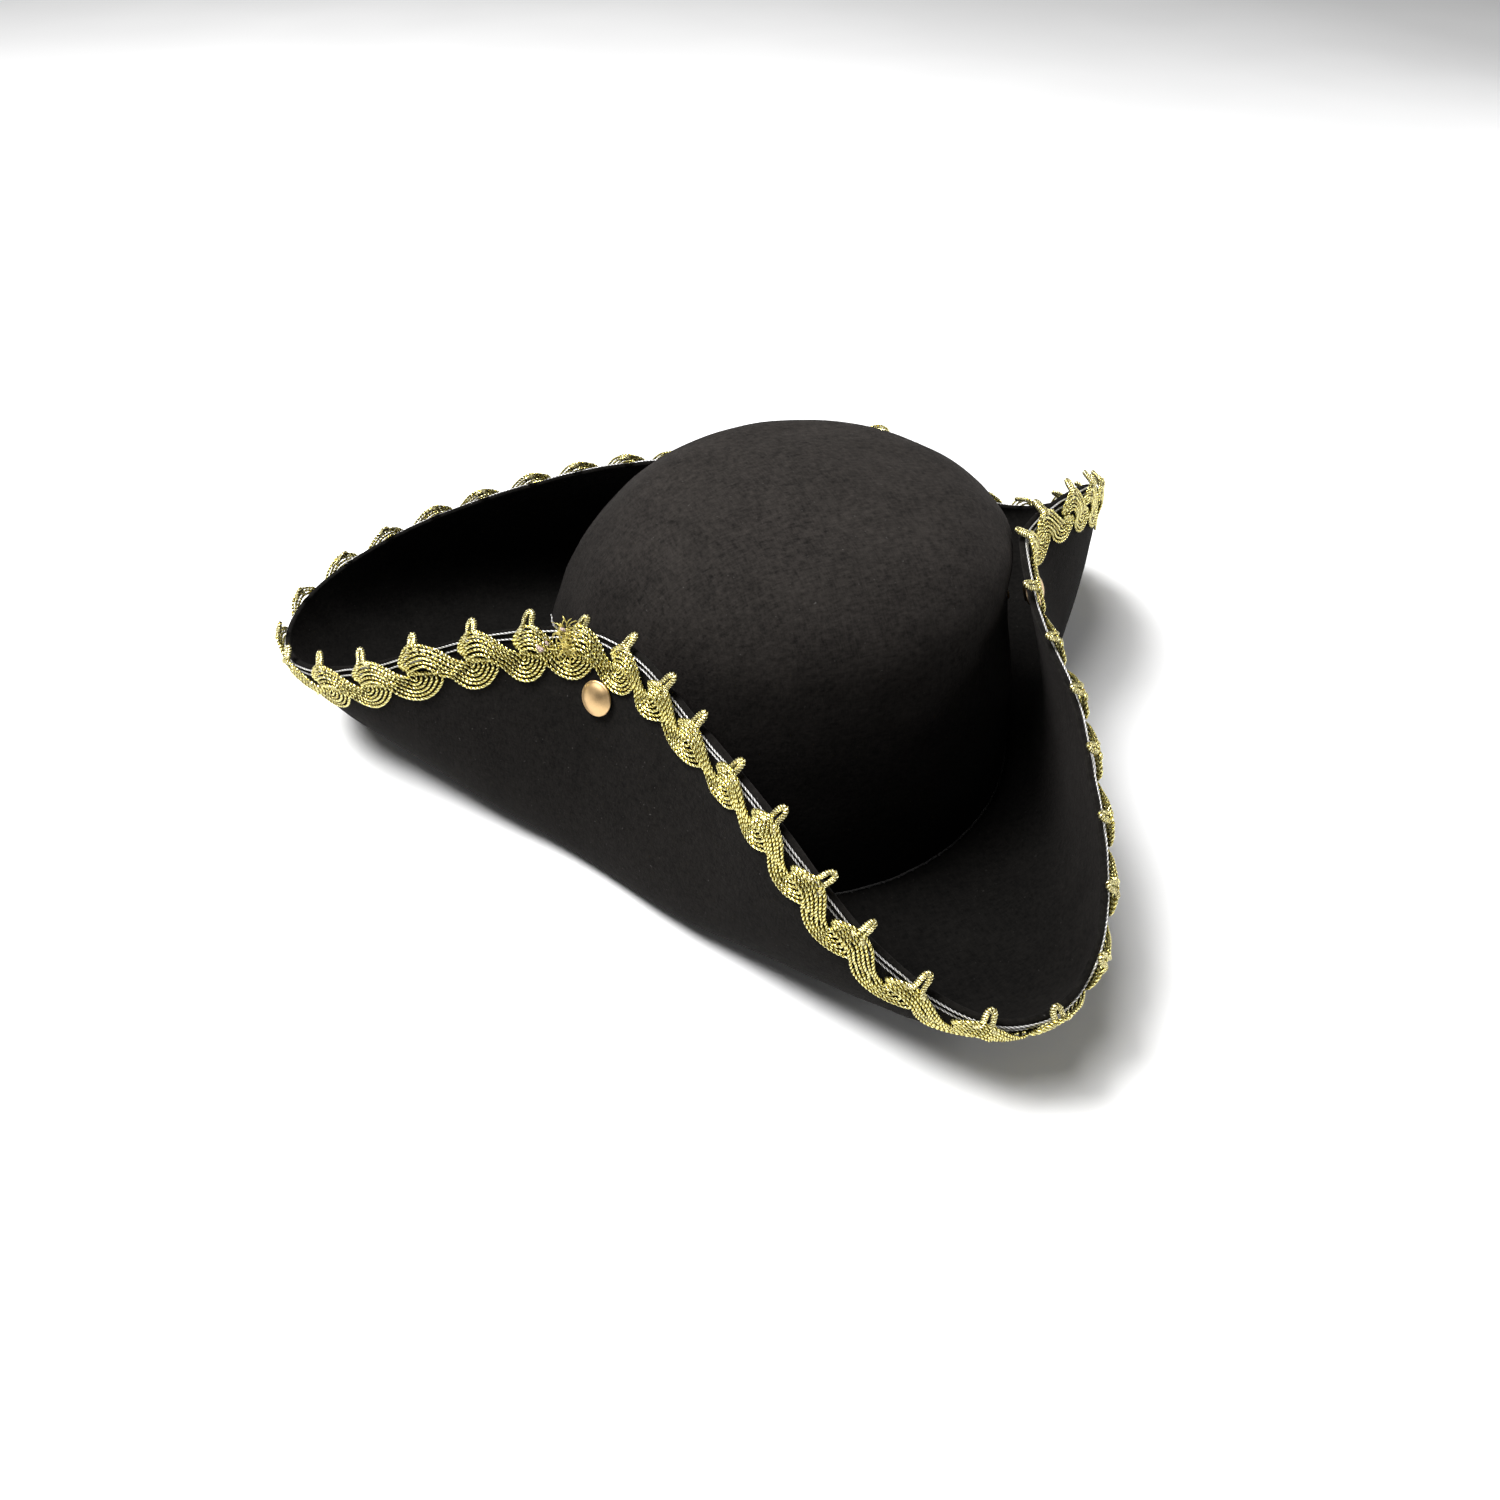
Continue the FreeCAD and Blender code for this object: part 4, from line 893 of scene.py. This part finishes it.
def closed_run(k):
    """Dense (u, v, w) of cord k round the whole rim."""
    ctrl = []
    t = k / (CORDS - 1)
    base = INNER * (1 - t) + OUTER * t
    on_hump = np.array([0] * 9 + [0.5, 1, 1, 1, 1, 1, 1, 1, 1, 0.7, 0.4])
    for i in range(REPEATS):
        g = np.random.default_rng(1000 + i)
        at, wide = place(i)
        du, dv, hu, hv, hs = g.normal(0, 0.25), g.normal(0, 0.22), g.normal(0, 0.45), \
            g.normal(0, 0.30), g.normal(1, 0.05)
        one = np.random.default_rng(7000 + i * 10 + k)
        c = base.copy()
        c[:, 0] = c[:, 0] * wide + at + du + on_hump * hu
        c[:, 1] = 6 + (c[:, 1] - 6) * (1 + on_hump * (hs - 1)) + dv + on_hump * hv
        c[:, :2] += one.normal(0, 0.10, (len(c), 2)) * (0.4 + 0.6 * on_hump[:, None])
        c[:, 2] += one.normal(0, 0.07, len(c)) + on_hump * abs(g.normal(0, 0.15))
        ctrl.append(c)
    c = np.concatenate(ctrl)
    ext = np.concatenate([c[-1:] - [RIM, 0, 0], c, c[:2] + [RIM, 0, 0]])
    p0, p1, p2, p3 = ext[:-3], ext[1:-2], ext[2:-1], ext[3:]
    d1 = np.linalg.norm(p1 - p0, axis=1)[:, None] ** 0.5
    d2 = np.linalg.norm(p2 - p1, axis=1)[:, None] ** 0.5
    d3 = np.linalg.norm(p3 - p2, axis=1)[:, None] ** 0.5
    m1 = d2 * ((p1 - p0) / d1 - (p2 - p0) / (d1 + d2) + (p2 - p1) / d2)
    m2 = d2 * ((p2 - p1) / d2 - (p3 - p1) / (d2 + d3) + (p3 - p2) / d3)
    t = np.linspace(0, 1, 7, endpoint=False)[None, :, None]
    p1, p2, m1, m2 = p1[:, None], p2[:, None], m1[:, None], m2[:, None]
    out = ((2 * t ** 3 - 3 * t ** 2 + 1) * p1 + (t ** 3 - 2 * t ** 2 + t) * m1
           + (-2 * t ** 3 + 3 * t ** 2) * p2 + (t ** 3 - t ** 2) * m2).reshape(-1, 3)
    return np.concatenate([out, out[:1] + [RIM, 0, 0]])


def resample(p, step):
    c = np.concatenate([[0], np.cumsum(np.linalg.norm(np.diff(p, axis=0), axis=1))])
    n = max(3, int(round(c[-1] / step)))
    s = np.linspace(0, c[-1], n + 1)
    return np.stack([np.interp(s, c, p[:, i]) for i in range(3)], 1), s


# azimuth boundaries of the halves along the rim's own length
def half_of(u):
    """Which half a rim position belongs to."""
    f = np.mod(np.interp(np.mod(u, RIM), run, fs), 360.0)
    return np.minimum((f // 60.0).astype(int), 5)


def split(uvw, cut_by):
    """Runs of points that stay in one half; neighbours share their end point."""
    h = half_of(cut_by)
    out = []
    i = 0
    while i < len(h) - 1:
        j = i
        while j < len(h) - 1 and h[j + 1] == h[i]:
            j += 1
        end = min(j + 1, len(h) - 1)
        out.append((h[i], i, end + 1))
        i = j + 1
    return out


STEP = 0.34
braid_bags = [Bag() for _ in range(6)]
for k in range(CORDS):
    uvw = closed_run(k)
    uvw, _ = resample(uvw, STEP)
    for _ in range(2):
        uvw[1:-1] = (uvw[:-2] + 2 * uvw[1:-1] + uvw[2:]) / 4
    p, n, _ = trim_point(uvw[:, 0], uvw[:, 1], uvw[:, 2])
    for h, i0, i1 in split(uvw, uvw[:, 0]):
        if i1 - i0 < 2:
            continue
        i0e, i1e = max(i0, 0), i1
        v, f, uv, _ = tube(p[i0e:i1e], n[i0e:i1e], CORD_R, 8, 2, 0.24, 3.2, s0=i0e * STEP,
                           phase=k * 1.3)
        braid_bags[h].add(v, f, uv)
names_b = [["braid_corner_front"], ["braid_flap_left"], ["braid_corner_left"],
           ["braid_flap_back"], ["braid_corner_right"], ["braid_flap_right"]]
for h in range(6):
    ob = braid_bags[h].make("braid_cords_%d" % h, gold)
    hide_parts(*names_b[h])
    bend(ob)

# ------------------------------------------------------------------ carrier threads
bags = [Bag() for _ in range(6)]
u = np.arange(0, RIM + 0.3, 0.45)
u = np.linspace(0, RIM, len(u))
for k, (v0, w0) in enumerate(((0.30, 0.36), (2.55, 0.36))):
    vv = v0 + 0.20 * np.sin(u / RIM * 2 * np.pi * 31 + k) + 0.10 * np.sin(u / RIM * 2 * np.pi * 83)
    ww = w0 + 0.08 * np.sin(u / RIM * 2 * np.pi * 57 + k * 2)
    p, n, _ = trim_point(u, vv, ww)
    for h, i0, i1 in split(u, u):
        v, f, uv, _ = tube(p[i0:i1], n[i0:i1], 0.29, 8, 2, 0.30, 3.2, s0=u[i0])
        bags[h].add(v, f, uv)
names_t = [["carrier_threads_corner_front"], ["carrier_threads_flap_left"],
           ["carrier_threads_corner_left"], ["carrier_threads_flap_back"],
           ["carrier_threads_corner_right"], ["carrier_threads_flap_right"]]
for h in range(6):
    ob = bags[h].make("carrier_threads_%d" % h, silver)
    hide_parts(*names_t[h])
    bend(ob)

# ------------------------------------------------------------------ picot loops
bags = [Bag() for _ in range(6)]
for i in range(REPEATS):
    g = np.random.default_rng(5000 + i)
    h0 = np.random.default_rng(1000 + i)
    du, dv, hu, hv, hs = h0.normal(0, 0.25), h0.normal(0, 0.22), h0.normal(0, 0.45), \
        h0.normal(0, 0.30), h0.normal(1, 0.05)
    uc = place(i)[0] + du + hu + 5.3 * place(i)[1] + g.normal(0, 0.25)
    tall, wide, lean, out = g.normal(0.96, 0.07), g.normal(1, 0.08), g.normal(0.0, 0.10), \
        g.normal(0.0, 0.5)
    ctrl = np.array([(-4.6, 0.6, 2.0), (-3.0, -0.9, 2.4), (-1.8, -2.2, 2.7), (-1.45, -3.5, 2.7),
                     (-1.45, -5.0, 2.6), (-0.9, -6.3, 2.5), (0.1, -6.75, 2.5), (1.0, -6.2, 2.5),
                     (1.4, -5.0, 2.6), (1.4, -3.5, 2.7), (1.9, -2.2, 2.7), (3.2, -1.0, 2.4),
                     (5.0, 0.4, 2.0)])
    ctrl[:, 1] += dv + hv
    at_f = np.mod(np.interp(np.mod(uc, RIM), run, fs), 360.0)
    tall = tall * (0.62 if 172.0 < at_f < 202.0 else 1.0)      # pressed flat against the crown
    t = np.linspace(0, 1, 6, endpoint=False)[:, None]
    pts = []
    for j in range(1, len(ctrl) - 2):
        p0, p1, p2, p3 = ctrl[j - 1], ctrl[j], ctrl[j + 1], ctrl[j + 2]
        m1, m2 = (p2 - p0) / 2, (p3 - p1) / 2
        pts.append((2 * t ** 3 - 3 * t ** 2 + 1) * p1 + (t ** 3 - 2 * t ** 2 + t) * m1
                   + (-2 * t ** 3 + 3 * t ** 2) * p2 + (t ** 3 - t ** 2) * m2)
    pts = np.concatenate(pts + [ctrl[-2:-1]])
    hgt = np.clip(-pts[:, 1], 0, None)
    x = pts[:, 0] * wide * np.interp(hgt, [0, 3], [1, 0.86]) + lean * hgt
    y = np.where(pts[:, 1] < 0, pts[:, 1] * tall, pts[:, 1])
    w = pts[:, 2] + out * hgt / 7.0 - 0.80 * np.clip(hgt - 1.6, 0, None)
    line, _ = resample(np.stack([x, y, w], 1), 0.33)
    h = int(half_of(np.array([uc]))[0])
    # a doubled cord: two strands side by side
    for q, (off, r) in enumerate(((0.0, 0.86), (0.60, 0.44))):
        ln = line.copy()
        cen = np.array([0.0, -4.9])
        dv = ln[:, :2] - cen
        ln[:, :2] = cen + dv * (1 - off / np.maximum(np.linalg.norm(dv, axis=1), 1.0))[:, None]
        ln[:, 2] += off * 0.9
        p, n, _ = trim_point(uc + ln[:, 0], ln[:, 1], ln[:, 2])
        v, f, uv, _ = tube(p, n, r, 8, 2, 0.17, 1.7, s0=i * 31.0 + q * 7)
        bags[h].add(v, f, uv)
names_p = [["picots_corner_front"], ["picots_flap_left"], ["picots_corner_left"],
           ["picots_flap_back"], ["picots_corner_right"], ["picots_flap_right"]]
for h in range(6):
    ob = bags[h].make("picot_loops_%d" % h, gold_picot)
    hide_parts(*names_p[h])
    bend(ob)

# ------------------------------------------------------------------ the braid's join
bag, bag_pink, bag_white = Bag(), Bag(), Bag()
JU = 14.0                           # along the rim from the reference point
g = np.random.default_rng(77)
for i in range(70):
    u0, v0 = JU + g.normal(0, 1.9), g.uniform(-2.2, 9.0)
    a = g.normal(-math.pi / 2, 0.75) if i % 3 else g.uniform(0, 2 * math.pi)
    L = g.uniform(2.6, 6.4)
    k = np.linspace(0, 1, 9)
    curl = g.normal(0, 0.9)
    du = np.cos(a + curl * k) * L * k
    dv = np.sin(a + curl * k) * L * k
    w = 1.2 + g.uniform(0.6, 2.2) * np.sin(k * math.pi * 0.8) + g.uniform(0, 1.4) * k
    p, n, _ = trim_point(u0 + du, v0 + dv, w)
    v, f, uv, _ = tube(p, n, g.uniform(0.14, 0.26), 5, 2, 0.1, 1.0, taper=True, s0=i * 3.0)
    bag.add(v, f, uv)
for i, (u0, v0, a, L, r) in enumerate(((2.3, 5.2, 0.5, 2.2, 0.72), (3.0, 6.6, -0.3, 1.9, 0.66),
                                       (6.0, 3.3, 0.9, 1.7, 0.50), (12.4, -1.2, 0.2, 1.9, 0.55))):
    k = np.linspace(0, 1, 9)
    p, n, _ = trim_point(u0 + np.cos(a) * L * k, v0 + np.sin(a) * L * k, 2.9 + 0.5 * np.sin(k * 3))
    v, f, uv, _ = tube(p, n, r, 8, 3, 0.12, 1.2, taper=True, s0=i * 2.0)
    bag_pink.add(v, f, uv)
loop_pts = np.array([(11.3, 0.4), (10.9, -1.2), (9.7, -3.0), (9.2, -4.0), (9.9, -3.3), (10.2, -1.9),
                     (9.5, -2.1), (9.1, -4.1), (8.9, -5.0), (8.6, -6.0)])
k = np.linspace(0, 1, 60)
lu = np.interp(k, np.linspace(0, 1, 10), loop_pts[:, 0])
lv = np.interp(k, np.linspace(0, 1, 10), loop_pts[:, 1])
for _ in range(5):
    lu[1:-1] = (lu[:-2] + lu[1:-1] * 2 + lu[2:]) / 4
    lv[1:-1] = (lv[:-2] + lv[1:-1] * 2 + lv[2:]) / 4
p, n, _ = trim_point(lu, lv, 2.2 + 0.8 * np.sin(k * 4))
v, f, uv, _ = tube(p, n, 0.21, 6, 2, 0.15, 1.4, taper=True)
bag_white.add(v, f, uv)
for nm, bg, mt, sl in (("join_fibres", bag, gold_fibre, "braid_gold"),
                       ("join_core", bag_pink, pink, "braid_gold"),
                       ("join_thread_end", bag_white, silver, "thread_silver")):
    ob = bg.make(nm, mt)
    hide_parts("braid_join_tuft")
    bend(ob)

# ------------------------------------------------------------------ snaps
def lathe(name, prof, mat, place, n=56):
    """A turned piece from its profile [(r, z)] in mm, closed on the axis at both ends."""
    prof = np.array(prof, float)
    a = np.arange(n) * 2 * np.pi / n
    v = np.stack([prof[None, :, 0] * np.cos(a)[:, None], prof[None, :, 0] * np.sin(a)[:, None],
                  np.broadcast_to(prof[None, :, 1], (n, len(prof)))], -1)
    m = len(prof)
    faces = [tuple(q) for q in grid_faces(n, m, closed_u=True)]
    v = v.reshape(-1, 3)
    z = Vector(place[1]).normalized()
    q = z.to_track_quat("Z", "Y").to_matrix()
    R = np.array(q)
    v = v @ R.T + np.array(place[0])
    return make(name, v, faces, mat)


def node_frame(node, towards):
    """Centre of a turned CAD node (mm)."""
    lo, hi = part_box(node)
    return np.array((lo + hi) / 2) * 1000


def seat(node_name, direction, low):
    """The base point of a turned node, whose axis is direction, from its own vertices (mm)."""
    co = np.array([tuple(x.co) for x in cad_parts[node_name].data.vertices]) * 1000
    d = np.array(direction)
    h = co @ d
    base = co[h < h.min() + 0.05] if low else co[h > h.max() - 0.05]
    c = (co.max(0) + co.min(0)) / 2
    rim = co[h < h.min() + 0.05]
    c = rim.mean(0) if len(rim) else c
    return c - d * (c @ d) + d * h.min()


def axis_of(side, kind):
    """Centre and principal axes of a snap's shank, from its vertices."""
    co = np.array([tuple(x.co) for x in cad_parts[kind + side].data.vertices]) * 1000
    c = co.mean(0)
    u_, s_, vt = np.linalg.svd(co - c, full_matrices=False)
    return c, vt


CAP = [(0.0, -0.25), (4.2, -0.25), (6.0, -0.2), (6.32, 0.0), (6.42, 0.28), (6.35, 0.58),
       (6.15, 0.8), (5.85, 0.9), (5.5, 1.08), (4.9, 1.45), (4.1, 1.85), (3.1, 2.2), (2.0, 2.45),
       (1.0, 2.57), (0.0, 2.6)]
for side in FLAPS:
    co = np.array([tuple(x.co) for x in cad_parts["snap_cap_" + side].data.vertices]) * 1000
    so = np.array([tuple(x.co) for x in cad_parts["snap_socket_" + side].data.vertices]) * 1000
    d = (co.max(0) + co.min(0)) / 2 - (so.max(0) + so.min(0)) / 2
    # the shared axis: fit the cap's flat base
    d = d / np.linalg.norm(d)
    for _ in range(6):
        hh = co @ d
        base = co[hh < hh.min() + 0.6]
        c = base.mean(0)
        _, _, vt = np.linalg.svd(base - c)
        nn = vt[2] if vt[2] @ d > 0 else -vt[2]
        d = nn
    hh = co @ d
    base = co[hh < hh.min() + 0.05]
    c = (base.max(0) + base.min(0)) / 2
    ob = lathe("snap_cap_face_" + side, CAP, copper, (c - d * 0.2, d))
    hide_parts("snap_cap_" + side)
    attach(ob, "flap_" + side)
for name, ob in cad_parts.items():
    if name.startswith(("snap_socket", "snap_stud", "snap_post", "cap_shank", "post_shank")):
        ob.data.materials.clear()
        ob.data.materials.append(nickel)

# ------------------------------------------------------------------ floor and light
mat, nt, b = material("studio_floor")
tc = nt.nodes.new("ShaderNodeTexCoord")
fl = noise(nt, tc.outputs["Object"], 3.0, 2.0, 0.5)
nt.links.new(ramp(nt, fl, [(0.3, (0.86, 0.86, 0.86)), (0.7, (0.90, 0.90, 0.90))]), b.inputs["Base Color"])
b.inputs["Roughness"].default_value = 0.9
b.inputs["Specular IOR Level"].default_value = 0.1
bpy.ops.mesh.primitive_grid_add(x_subdivisions=8, y_subdivisions=8, size=12, location=(0, 0, -0.0003))
floor = bpy.context.object
floor.name = "floor"
floor.data.materials.append(mat)

world = bpy.data.worlds.new("studio") if bpy.context.scene.world is None else bpy.context.scene.world
bpy.context.scene.world = world
world.use_nodes = True
bg = world.node_tree.nodes["Background"]
bg.inputs["Color"].default_value = (1, 1, 1, 1)
bg.inputs["Strength"].default_value = 0.09


def area_light(name, loc, target, size, power):
    d = bpy.data.lights.new(name, "AREA")
    d.shape = "DISK"
    d.size = size
    d.energy = power
    o = bpy.data.objects.new(name, d)
    bpy.context.scene.collection.objects.link(o)
    o.location = loc
    o.rotation_mode = "QUATERNION"
    o.rotation_quaternion = (Vector(target) - Vector(loc)).to_track_quat("-Z", "Y")
    return o


area_light("key", (-0.65, 0.40, 1.40), (0.0, 0.0, 0.05), 0.70, 33)
area_light("left_front", (-1.00, -1.10, 0.48), (0.0, 0.0, 0.05), 0.40, 0.7)
area_light("right_front", (1.20, -0.85, 0.30), (0.0, 0.0, 0.05), 0.40, 4.2)
area_light("right_low", (1.30, 0.20, 0.50), (0.1, 0.0, 0.05), 0.40, 3.0)
area_light("over", (-0.80, 0.25, 2.4), (0.0, 0.0, 0.0), 1.3, 52)

bpy.context.scene.view_settings.view_transform = "Standard"
bpy.context.scene.view_settings.look = "None"
bpy.context.scene.view_settings.exposure = 0.0
bpy.context.scene.view_settings.gamma = 1.0
